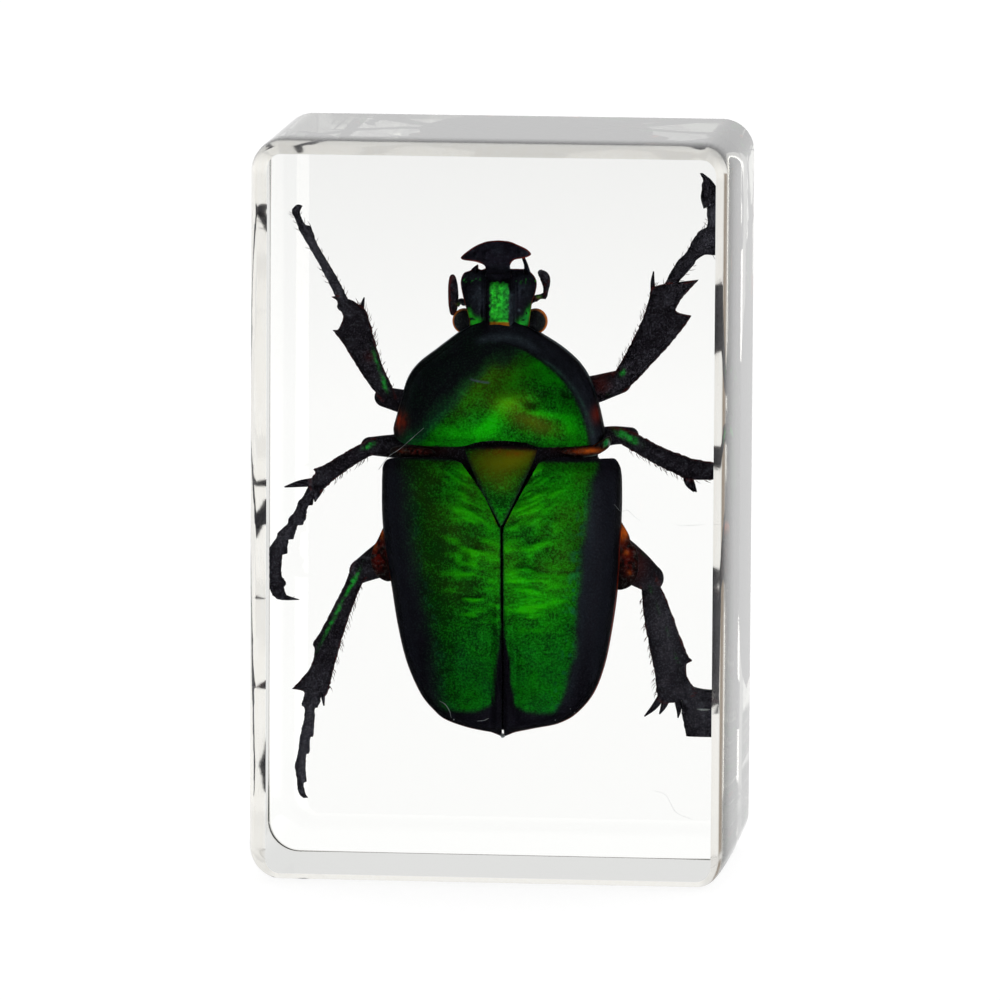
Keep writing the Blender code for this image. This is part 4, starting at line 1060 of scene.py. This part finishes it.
print("legs")
legLevel = 1.0  # y of the shins and feet, just behind the widest line of the trunk
plainLeg = {
    "spurSize": 0.17,
    "clawSize": 0.15,
    "shinThickness": 0.66,
    "footThickness": 0.6,
    "footBlunt": 0.3,  # share of that at its ends, and at least that thick
    "roughness": (0.06, 0.05),  # of the shin's and the foot's edges
    "claws": [],
    "red": [],
    "pale": [],
}
legs = {
    "leftFore": {
        "thigh": [(-2.2, 2.0, 26.6), (-4.6, 1.4, 27.6), (-5.8, 1.1, 27.95), (-6.85, 1.0, 28.2)],
        "thighSize": [0.9, 0.95, 0.78, 0.6],
        "outer": [
            (-6.9, 28.0), (-7.64, 28.75), (-8.5, 30.0), (-9.35, 31.36), (-9.98, 32.14), (-9.98, 32.14),
            (-9.6, 32.23), (-9.34, 32.84), (-9.43, 33.19), (-9.69, 33.5), (-9.69, 33.88), (-10.04, 34.13),
            (-10.04, 34.13), (-9.6, 34.2),
        ],
        "inner": [
            (-6.15, 28.2), (-6.44, 28.97), (-6.9, 29.9), (-7.26, 30.92), (-7.6, 32.2), (-7.95, 33.3),
            (-8.3, 33.62), (-8.7, 33.9),
        ],
        "spurs": [[(-8.25, 33.2), (-8.18, 33.7), (-8.08, 34.12)]],
        "foot": (
            [
                (-9.3, 33.2), (-9.95, 34.5), (-10.95, 36.37), (-11.8, 37.8), (-12.25, 38.8), (-12.4, 39.15),
                (-12.34, 39.38), (-12.13, 39.52),
            ],
            [
                (-8.7, 33.1), (-9.15, 34.2), (-9.66, 35.2), (-10.24, 36.2), (-10.87, 37.2), (-11.16, 38.05),
                (-11.3, 38.33), (-11.3, 38.33), (-11.6, 38.4), (-11.8, 38.75), (-11.93, 39.13),
                (-11.8, 39.46),
            ],
        ),
        "claws": [[(-12.2, 39.3), (-12.05, 39.48), (-11.78, 39.5)]],
        "green": [((-6.85, 29.05), (0.5, 0.14), 108, 2.0), ((-7.35, 30.5), (0.7, 0.12), 108, 1.1)],
        "red": [((-7.7, 30.6), (0.3, 0.3), 0, 0.15)],
        "pale": [((-10.9, 36.6), (0.8, 2.2), 30, 0.35)],
    },
    "rightFore": {
        "thigh": [(2.4, 2.0, 27.0), (4.8, 1.4, 28.5), (6.1, 1.1, 29.0), (7.15, 1.0, 29.35)],
        "thighSize": [0.9, 0.95, 0.85, 0.7],
        "outer": [
            (7.2, 28.6), (8.1, 29.4), (9.2, 30.6), (10.3, 31.85), (11.4, 33.35), (11.4, 33.35),
            (10.65, 33.5), (10.45, 33.75), (10.9, 34.5), (11.8, 35.5), (11.8, 35.5), (10.95, 35.3),
        ],
        "inner": [
            (6.7, 29.7), (7.3, 30.7), (8.1, 32.3), (8.7, 33.8), (8.95, 34.8), (9.3, 35.1), (10.2, 35.3),
        ],
        "spurs": [[(9.1, 34.6), (9.05, 35.3), (9.1, 35.95)]],
        "foot": (
            [
                (9.4, 34.3), (9.93, 35.56), (10.52, 36.57), (11.04, 37.13), (11.46, 37.92), (11.8, 38.39),
                (12.2, 38.62), (12.28, 39.0), (12.23, 39.4), (12.24, 39.8), (12.14, 40.2), (11.96, 40.64),
                (11.9, 41.12), (11.99, 41.39), (11.79, 41.81),
            ],
            [
                (10.2, 34.2), (10.6, 35.3), (10.95, 35.75), (11.48, 36.36), (11.65, 36.66),
                (12.16, 36.98), (12.9, 37.0), (13.3, 37.6), (13.35, 38.8), (13.3, 39.9), (12.9, 40.7),
                (12.7, 41.14), (12.38, 41.51), (11.95, 41.83),
            ],
        ),
        "claws": [[(12.4, 39.9), (12.1, 40.5), (11.95, 40.9)]],
        "clawSize": 0.42,
        "green": [((7.35, 29.95), (0.18, 0.3), -30, 1.3), ((6.4, 28.6), (0.15, 0.15), 0, 0.5)],
        "pale": [((12.6, 39.3), (0.7, 0.6), 0, 0.9), ((12.4, 37.9), (0.9, 0.6), 0, 0.3)],
        "red": [((6.0, 29.25), (0.5, 0.5), 0, 0.4), ((6.5, 29.9), (0.5, 0.12), 15, 0.5)],
    },
    "leftMid": {
        "thigh": [(-2.4, 2.8, 24.2), (-5.0, 1.7, 25.15), (-6.5, 1.2, 25.25), (-7.7, 1.0, 25.25)],
        "thighSize": [0.9, 0.85, 0.75, 0.55],
        "outer": [
            (-7.4, 25.75), (-8.6, 25.2), (-9.9, 24.4), (-10.5, 24.05), (-11.1, 23.8), (-11.1, 23.8),
            (-10.95, 23.6), (-11.15, 23.35), (-11.3, 22.95), (-11.2, 22.6),
        ],
        "inner": [(-7.5, 24.75), (-8.6, 24.1), (-9.7, 23.3), (-10.2, 22.85), (-10.6, 22.45)],
        "spurs": [
            [(-10.9, 23.05), (-11.9, 22.92), (-12.8, 22.71)],
            [(-10.7, 22.7), (-10.9, 22.2), (-10.97, 21.85)],
        ],
        "spurSize": 0.28,
        "pale": [
            ((-11.2, 23.1), (0.07, 0.3), 8, 1.2), ((-10.9, 22.15), (0.06, 0.3), 10, 1.2),
            ((-12.7, 20.0), (1.0, 2.4), -30, 0.25),
        ],
        "foot": (
            [
                (-11.1, 23.4), (-11.45, 22.65), (-11.66, 22.23), (-11.97, 21.83), (-12.2, 21.24),
                (-12.54, 20.84), (-12.64, 20.5), (-13.2, 19.94), (-13.27, 19.65), (-13.7, 19.05),
                (-13.7, 19.05), (-13.7, 18.66), (-13.68, 17.08), (-13.6, 16.4), (-13.2, 15.97),
                (-12.6, 15.92), (-11.9, 15.96),
            ],
            [
                (-10.5, 23.2), (-10.95, 22.5), (-11.07, 21.85), (-11.12, 21.65), (-11.12, 21.65),
                (-11.39, 21.55), (-11.51, 20.86), (-11.73, 20.44), (-11.73, 20.44), (-12.0, 20.41),
                (-12.24, 19.59), (-12.24, 19.59), (-12.54, 19.56), (-12.61, 18.73), (-12.61, 18.73),
                (-12.9, 18.67), (-12.95, 17.4), (-12.8, 17.2), (-12.7, 16.85), (-12.82, 16.7),
                (-12.65, 16.2), (-12.4, 16.1), (-11.9, 16.0),
            ],
        ),
        "claws": [[(-13.0, 16.2), (-12.5, 16.05), (-11.95, 15.97)]],
        "green": [((-7.75, 25.3), (0.4, 0.13), 28, 1.8)],
    },
    "rightMid": {
        "thigh": [(2.8, 2.8, 24.5), (5.2, 1.7, 25.7), (6.6, 1.2, 26.1), (7.8, 1.0, 26.15)],
        "thighSize": [0.9, 0.85, 0.62, 0.5],
        "outer": [
            (7.4, 26.55), (8.7, 26.0), (9.7, 25.5), (11.0, 25.0), (11.7, 24.78), (12.7, 24.65),
            (12.9, 24.5),
        ],
        "inner": [
            (7.3, 25.6), (8.5, 24.9), (9.6, 24.3), (10.6, 23.85), (11.2, 23.6), (11.9, 23.55),
            (12.7, 23.6),
        ],
        "spurs": [
            [(11.2, 24.1), (11.25, 23.4), (11.6, 22.85)], [(11.2, 23.7), (11.5, 23.2), (11.75, 22.85)],
        ],
        "foot": (
            [(12.3, 23.9), (12.8, 23.5), (12.92, 22.6), (12.9, 21.2), (12.95, 19.8), (13.05, 18.75)],
            [(12.5, 24.45), (13.2, 24.1), (13.46, 22.8), (13.46, 21.2), (13.42, 19.8), (13.3, 18.75)],
        ),
        "claws": [[(13.15, 19.2), (13.1, 18.9), (13.0, 18.7)]],
        "spurSize": 0.3,
        "green": [((7.6, 26.1), (0.7, 0.22), -28, 2.2)],
        "red": [((6.9, 26.6), (0.6, 0.12), -10, 0.6)],
    },
    "leftHind": {
        "thigh": [(-2.0, 3.0, 20.2), (-5.2, 2.0, 19.25), (-7.0, 1.3, 18.4), (-8.2, 1.0, 17.75)],
        "thighSize": [1.2, 1.5, 1.2, 0.72],
        "outer": [
            (-8.6, 18.4), (-8.9, 17.7), (-9.2, 16.9), (-9.9, 15.5), (-10.55, 14.2), (-11.1, 13.35),
            (-11.1, 13.35), (-10.98, 12.9), (-11.1, 12.2), (-11.5, 11.5), (-12.3, 10.6), (-12.3, 10.6),
            (-11.65, 10.45), (-11.6, 10.1),
        ],
        "inner": [
            (-7.9, 17.4), (-8.35, 16.5), (-8.9, 15.0), (-9.4, 13.4), (-9.8, 11.9), (-10.1, 10.6),
            (-10.3, 10.2),
        ],
        "spurs": [
            [(-11.3, 10.7), (-11.5, 10.1), (-11.7, 9.65)], [(-10.5, 10.8), (-10.45, 10.1), (-10.4, 9.6)],
        ],
        "foot": (
            [
                (-11.5, 10.5), (-11.56, 10.1), (-11.76, 9.6), (-11.76, 9.6), (-11.55, 9.42),
                (-11.61, 8.7), (-11.85, 7.61), (-11.94, 6.76), (-12.14, 6.05), (-12.12, 5.79),
                (-12.02, 5.19), (-11.96, 4.58), (-11.84, 4.22), (-11.6, 4.01),
            ],
            [
                (-10.5, 10.5), (-10.6, 9.92), (-10.77, 9.5), (-10.77, 9.5), (-10.95, 9.4), (-10.95, 8.83),
                (-11.03, 7.74), (-11.03, 7.74), (-11.22, 7.62), (-11.27, 6.77), (-11.43, 6.65),
                (-11.48, 5.8), (-11.42, 5.02), (-11.42, 5.02), (-11.6, 4.89), (-11.54, 4.47),
                (-11.38, 4.05),
            ],
        ),
        "claws": [[(-11.75, 4.5), (-11.6, 4.2), (-11.35, 4.05)]],
        "green": [((-8.55, 17.3), (0.45, 0.13), 60, 2.2), ((-9.5, 15.5), (2.2, 0.12), 63, 1.6)],
        "red": [((-8.3, 19.2), (0.8, 0.25), 40, 0.4)],
        "pale": [((-11.4, 7.3), (0.8, 3.0), 0, 0.4), ((-10.8, 11.3), (0.8, 1.0), 0, 0.15)],
        "arc": ((-8.05, 18.0), 0.62),
    },
    "rightHind": {
        "thigh": [(2.6, 3.0, 20.4), (5.7, 2.0, 19.4), (7.9, 1.3, 18.35), (9.0, 1.0, 17.65)],
        "thighSize": [1.2, 1.6, 1.35, 0.85],
        "outer": [
            (9.3, 17.9), (10.1, 16.2), (10.7, 14.6), (11.2, 13.3), (11.6, 12.75), (11.6, 12.75),
            (11.25, 12.5), (11.3, 11.8), (11.75, 11.0), (11.6, 10.6),
        ],
        "inner": [
            (8.5, 17.2), (8.65, 15.5), (8.95, 13.8), (9.3, 12.2), (9.5, 10.6), (9.9, 10.2), (10.5, 10.2),
        ],
        "spurs": [
            [(9.8, 10.6), (9.3, 9.9), (8.75, 9.35)], [(10.1, 10.5), (9.85, 9.9), (9.65, 9.5)],
            [(10.7, 10.6), (10.8, 9.8), (10.75, 9.3)],
        ],
        "foot": (
            [(10.9, 11.6), (10.95, 10.9), (10.95, 9.9), (11.08, 9.04), (11.25, 8.22)],
            [(11.9, 11.0), (12.9, 11.02), (13.4, 10.9), (13.45, 9.9), (13.4, 9.0), (13.4, 8.22)],
        ),
        "footBlunt": 0.95,
        "spurSize": 0.24,
        "green": [
            ((9.1, 16.95), (0.09, 0.3), 15, 0.8), ((9.6, 15.75), (0.08, 0.4), 18, 0.7),
            ((10.05, 14.5), (0.08, 0.4), 18, 0.7), ((10.65, 12.9), (0.08, 0.5), 15, 0.6),
            ((8.6, 19.1), (0.3, 0.1), -45, 0.3),
        ],
        "red": [((8.1, 18.5), (0.7, 0.9), 0, 0.35)],
        "pale": [
            ((10.0, 14.6), (1.0, 3.0), 18, 0.25), ((12.2, 9.6), (1.3, 1.3), 0, 0.22),
            ((11.2, 10.9), (0.6, 0.5), 0, 0.3), ((11.18, 10.3), (0.13, 0.12), 0, 1.0),
        ],
    },
}
bristle = {
    "perMillimetre": 5,
    "length": 0.42,
    "size": 0.016,
}


def bristles(line, side, seed, amount=1.0):
    # short stiff hairs along an edge line, leaning towards its end
    line = smoothLine(line, 60)
    length = np.linalg.norm(np.diff(line, axis=0), axis=1).sum()
    dice = np.random.default_rng(seed)
    forms = []
    for share in np.sort(dice.uniform(0.08, 0.97, int(length * bristle["perMillimetre"] * amount))):
        k = int(share * 58)
        along = (line[k + 1] - line[k]) / np.linalg.norm(line[k + 1] - line[k])
        out = np.array([-along[1], along[0]]) * side
        lean = along * dice.uniform(0.5, 1.1) + out * dice.uniform(0.35, 0.8)
        tip = line[k] + lean * bristle["length"] * dice.uniform(0.5, 1.0)
        middle = (line[k] + tip) / 2 + out * 0.03
        y = legLevel + dice.uniform(-0.2, 0.15)
        path = [(line[k][0], y, line[k][1]), (middle[0], y, middle[1])]
        path.append((tip[0], y + dice.uniform(-0.1, 0.1), tip[1]))
        forms.append(rod(path, np.multiply(bristle["size"], (1, 0.8, 0.2)), 4, 5))
    return forms


def makeLeg(name, leg, seed):
    knee, blunt = leg["thighSize"][-1], leg["footBlunt"]
    shinRough, footRough = leg["roughness"]
    thickness = max(leg["footThickness"], blunt)
    forms = [
        rod(leg["thigh"], leg["thighSize"], count=28, rings=44, flatness=0.8),
        ball(leg["thigh"][-1], (knee, knee * 0.8, knee), rings=16, count=24),
        blade(leg["outer"], leg["inner"], leg["shinThickness"], rows=110, rough=shinRough),
        blade(*leg["foot"], thickness, rows=160, ends=(blunt, blunt), rough=footRough),
    ]
    for key, size, end, rings in (("spur", leg["spurSize"], 0.04, 12), ("claw", leg["clawSize"], 0.03, 14)):
        for line in leg[key + "s"]:
            path = [(x, legLevel, z) for x, z in line]
            forms.append(rod(path, [size, size * 0.75, end], count=10, rings=rings))
    inward = 1 if name in ("leftMid", "leftHind", "rightFore") else -1
    hairs = bristles(leg["inner"], inward, seed)
    for edge, side in enumerate((1, -1)):
        hairs += bristles(leg["foot"][edge], side, seed + 1 + edge, 0.3)
    points, faces = gather(forms + hairs)
    x, y, z = points.T
    hair = np.arange(len(points)) >= len(points) - sum(len(form[0]) for form in hairs)
    rims = np.concatenate([smoothLine(leg[edge], 90) for edge in ("outer", "inner")])
    # painted glints of green where the metallic cuticle catches the light
    green = patches(x, z, leg["green"]) * (0.65 + 0.6 * humps(points, 0.15, seed))
    # a painted red-brown glow along the thin edges and in a few patches
    rust = 0.45 * step(gapTo(x, z, rims), 0.09, 0.03) * (0.6 + 0.6 * humps(points, 0.4, seed + 3))
    rust += patches(x, z, leg["red"]) + 0.4 * hair
    bloom = 0.18 * mottle(points, 0.2, seed + 5, 0.15, 0.7)
    bloom += 0.12 * mottle(points, 0.9, seed + 7, -0.2, 0.7)
    foot = sum(smoothLine(edge, 60) for edge in leg["foot"]) / 2  # its middle line
    bloom += 0.2 * step(gapTo(x, z, foot), 0.5, 0) * (0.6 + humps(points, 0.18, seed + 9))
    bloom += patches(x, z, leg["pale"])
    if "arc" in leg:
        # a pale arc on the knee
        (arcX, arcZ), size = leg["arc"]
        bloom += 0.8 * band(np.hypot(x - arcX, z - arcZ), size, 0.05) * step(z - x, 25.6, 26.0)
    beetlePiece(name + "Leg", points, faces, limbChitin, green=green, light=0.95,
                rust=rust * (1 - np.clip(green, 0, 1)), bloom=bloom * (1 - hair))


for seed, (name, leg) in enumerate(legs.items()):
    makeLeg(name, dict(plainLeg, **leg), 100 + 20 * seed)

print("lint and dust")
# a lint hair, a few pale wax flakes and the beetle's last tip caught in the resin
debris = {
    "hair": [
        (-4.2, -3.2, 26.75), (-4.6, -3.3, 26.4), (-5.6, -3.4, 25.5), (-6.3, -3.3, 25.0),
        (-6.9, -3.1, 24.2),
    ],
    "scuffs": [
        [(-3.3, 10.35), (-2.95, 10.15), (-2.7, 9.75), (-2.6, 9.3)],
        [(-1.05, 9.15), (-0.65, 9.2), (-0.35, 9.35)],
    ],
    "flakes": [(-2.45, 9.2), (4.5, 10.0), (4.75, 9.75), (3.6, 9.3)],
    "threads": [
        [(7.2, -5.5, 22.6), (7.6, -5.5, 22.2), (8.0, -5.5, 22.25), (8.4, -5.5, 21.9), (8.75, -5.5, 21.65)],
        [(10.9, -5.6, 21.5), (11.2, -5.6, 21.4), (12.6, -5.6, 21.5)],
        [(9.6, -5.4, 5.6), (10.4, -5.4, 5.3), (11.0, -5.4, 4.3), (12.0, -5.4, 3.9)],
    ],
    "sliver": [(11.9, 0.5, 9.9), (12.3, 0.48, 9.88), (12.7, 0.5, 9.9)],
    "tip": (0.42, -0.95, 8.22),
    "hairSize": [0.01, 0.017, 0.015, 0.012],
    "scuffSize": [0.01, 0.025, 0.02, 0.01],
    "flakeSize": (0.02, 0.05),  # least and most
    "threadSize": [0.003, 0.006, 0.003],
    "sliverSize": [0.03, 0.06, 0.05, 0.03],
    "tipSize": (0.13, 0.2, 0.14),
}
waxAndWarmTint = dict(skin, black="#73787a", rust="#b9a79a", bloom="#c6cccd", roughness=0.6, grain=0.06, flecks=0.6)
waxDust = chitin("waxDust", waxAndWarmTint)


def makeDebris():
    def onShell(x, z):
        # a little above the back of the wing cases, which is about 5.4 wide to each side here
        t = min(abs(x - 0.45) / 5.4, 1)
        return x, trunk["edge"] - glide(z, elytra["back"]) * overBack(t) - 0.06, z

    dice = np.random.default_rng(5)
    forms = [
        rod(debris["hair"], debris["hairSize"], count=6, rings=60),
        rod(debris["sliver"], debris["sliverSize"], count=8, rings=20),
    ]
    for scuff in debris["scuffs"]:
        forms.append(rod([onShell(x, z) for x, z in scuff], debris["scuffSize"], count=6, rings=30))
    for x, z in debris["flakes"]:
        size = dice.uniform(*debris["flakeSize"], 3)
        forms.append(ball(onShell(x, z), (size[0], 0.03, size[2]), rings=6, count=10))
    forms.append(ball(debris["tip"], debris["tipSize"], rings=10, count=14))
    points, faces = gather(forms)
    beetlePiece("dustOnShell", points, faces, waxDust, bloom=0.5 * mottle(points, 0.3, 3, -0.2, 0.5))
    threads = [rod(line, debris["threadSize"], count=5, rings=50) for line in debris["threads"]]
    points, faces = gather(threads)
    beetlePiece("lintThreads", points, faces, waxDust, bloom=0.8 + 0.2 * humps(points, 0.4, 9))


makeDebris()

print("studio")
studio = {
    "ground": 3.0,  # metres, half the floor's side
    "gap": 0.00005,  # metres between the floor and the block
    "paper": (0.3, 0.88),  # how much of the light it scatters, and how much it glows
    "white": 1.02,  # the tent where it is seen beside the block
    "rear": 0.95,  # behind the block, for light that has turned in it
    "mirrored": 0.15,  # what the block's outside reflects from the front
    "frontLight": (0.25, -0.95, -0.1),  # where the wide soft light in front of the beetle is
    "wood": "#8f7d68",  # tone of the room to the left, beyond the paper's edge
    # How each part of the tent fades: along what, from where to where, and its levels there.
    # x, y and z are parts of a ray's direction, front and lens cosines of its angle to those.
    "straight": [  # behind the block, seen straight through it
        ("z", -0.125, -0.09, 1.1, 0.95), ("z", -0.25, -0.6, 1.0, 0.62), ("aside", 0.12, 0.3, 1.0, 0.86),
    ],
    # the light, less of it above the block's middle, so that the bottom doesn't mirror it white
    "light": [("front", 0.55, 0.85, 0.45, 2.7), ("z", 0.0, 0.15, 1.0, 0.4)],
    # the opening for the lens, from 6.5 to 4.5 degrees, which flat faces would mirror
    "opening": [("lens", math.cos(math.radians(6.5)), math.cos(math.radians(4.5)), 1.0, 0.0)],
    "behind": [("y", -0.05, 0.1, 0.0, 1.0)],
    "late": [("surfaces", 3.4, 6.0, 1.0, 0.4)],  # after several turns inside the block
    "room": [
        ("x", -0.65, -0.8, 0.0, 1.0), ("y", 0.1, 0.3, 0.0, 1.0), ("z", -0.215, -0.19, 0.0, 1.0),
        ("turned", 0.0, 1.0, 1.0, 0.0),
    ],
    "camera": (5.41, 7.68, 0.31),  # degrees round the block, above it and of tilt
    "distance": 606.5,
    "aim": (0.646, 22.99),
    "lens": 371.9,
    "clip": (0.01, 20),  # metres
}


def lightPath(add):
    # whether a ray has turned back anywhere, and whether it has gone into the block
    path = add("LightPath").outputs
    turns = add("Math", operation="MAXIMUM", _0=path["Glossy Depth"], _1=path["Diffuse Depth"])
    depths = (turns, path["Transmission Depth"])
    turned, through = (add("Math", operation="GREATER_THAN", _0=depth, _1=0.5) for depth in depths)
    return turned, through, path


# White paper under the block. Light that has gone through the block or turned in it passes the
# paper, so that the white tent round the whole scene lights the block from all sides.
def makePaper():
    paper = bpy.data.materials.new("paper")
    add = nodesOf(paper)
    turned, through = lightPath(add)[:2]
    grey, glow = studio["paper"]
    plain = add("BsdfDiffuse", Color=(grey, grey, grey, 1))
    lift = add("Emission", Strength=glow)
    seen = add("AddShader", _0=plain, _1=lift)
    passed = add("BsdfTransparent")
    either = add("Math", operation="MAXIMUM", _0=turned, _1=through)
    mix = add("MixShader", _0=either, _1=seen, _2=passed)
    add("OutputMaterial", Surface=mix)
    return paper


def cameraAxes():
    # to the right of the picture, up it and towards the camera
    turn, rise, tilt = (math.radians(angle) for angle in studio["camera"])
    back = Vector((math.sin(turn) * math.cos(rise), -math.cos(turn) * math.cos(rise), math.sin(rise)))
    side = Vector((math.cos(turn), math.sin(turn), 0))
    up = back.cross(side)
    return side * math.cos(tilt) + up * math.sin(tilt), up * math.cos(tilt) - side * math.sin(tilt), back


def makeTent():
    world = bpy.data.worlds.new("studio")
    bpy.context.scene.world = world
    add = nodesOf(world)
    turned, through, path = lightPath(add)
    ray = add("TexCoord").outputs["Generated"]
    split = add("SeparateXYZ", Vector=ray).outputs
    turn = math.radians(studio["camera"][0])
    moved = add("Math", operation="ADD", _0=split["X"], _1=math.sin(turn))
    aside = add("Math", operation="ABSOLUTE", _0=moved)
    along = {"x": split["X"], "y": split["Y"], "z": split["Z"], "aside": aside, "turned": turned,
             "surfaces": path["Ray Depth"]}
    back = cameraAxes()[2]
    aims = {"front": studio["frontLight"], "lens": (-back.x, back.y, -back.z)}
    for name, aim in aims.items():
        aim = Vector(aim).normalized()
        along[name] = add("VectorMath", operation="DOT_PRODUCT", _0=ray, _1=aim)

    def faded(part, level=None):
        for key, start, end, first, last in studio[part]:
            fade = add("MapRange", Value=along[key], From_Min=start, From_Max=end,
                       To_Min=first, To_Max=last)
            level = add("Math", operation="MULTIPLY", _0=level, _1=fade) if level else fade
        return level

    light = add("Mix", Factor=through, A=studio["mirrored"], B=faded("light"))
    around = add("Mix", Factor=faded("behind"), A=faded("opening", light), B=studio["rear"])
    straight = add("Mix", Factor=through, A=studio["white"], B=faded("straight"))
    level = add("Mix", Factor=turned, A=straight, B=faded("late", around))
    white, wood = linear("#ffffff"), linear(studio["wood"])
    tone = add("Mix", data_type="RGBA", Factor=faded("room"), A=white, B=wood)
    tent = add("Background", Color=tone, Strength=level)
    add("OutputWorld", Surface=tent)


def makeStage():
    r = studio["ground"]
    corners = np.array([(-r, -r, 0), (r, -r, 0), (r, r, 0), (-r, r, 0)]) / mm
    floor = meshFrom("floor", corners, [(0, 1, 2, 3)], makePaper())
    floor.location.z = -studio["gap"]
    makeTent()


def makeCamera():
    lens = bpy.data.cameras.new("camera")
    lens.sensor_width = 36  # millimetres
    lens.lens = studio["lens"]
    lens.clip_start, lens.clip_end = studio["clip"]
    camera = bpy.data.objects.new("camera", lens)
    bpy.context.scene.collection.objects.link(camera)
    bpy.context.scene.camera = camera
    right, top, back = cameraAxes()
    aim = Vector((studio["aim"][0], blockLow[1], studio["aim"][1]))
    place = (aim + back * studio["distance"]) * mm
    rows = [(right[k], top[k], back[k], place[k]) for k in range(3)]
    camera.matrix_world = Matrix((*rows, (0, 0, 0, 1)))


makeStage()
makeCamera()
scene = bpy.context.scene
scene.view_settings.view_transform = "Standard"
scene.cycles.max_bounces = 32
scene.cycles.transmission_bounces = 32
scene.cycles.glossy_bounces = 16
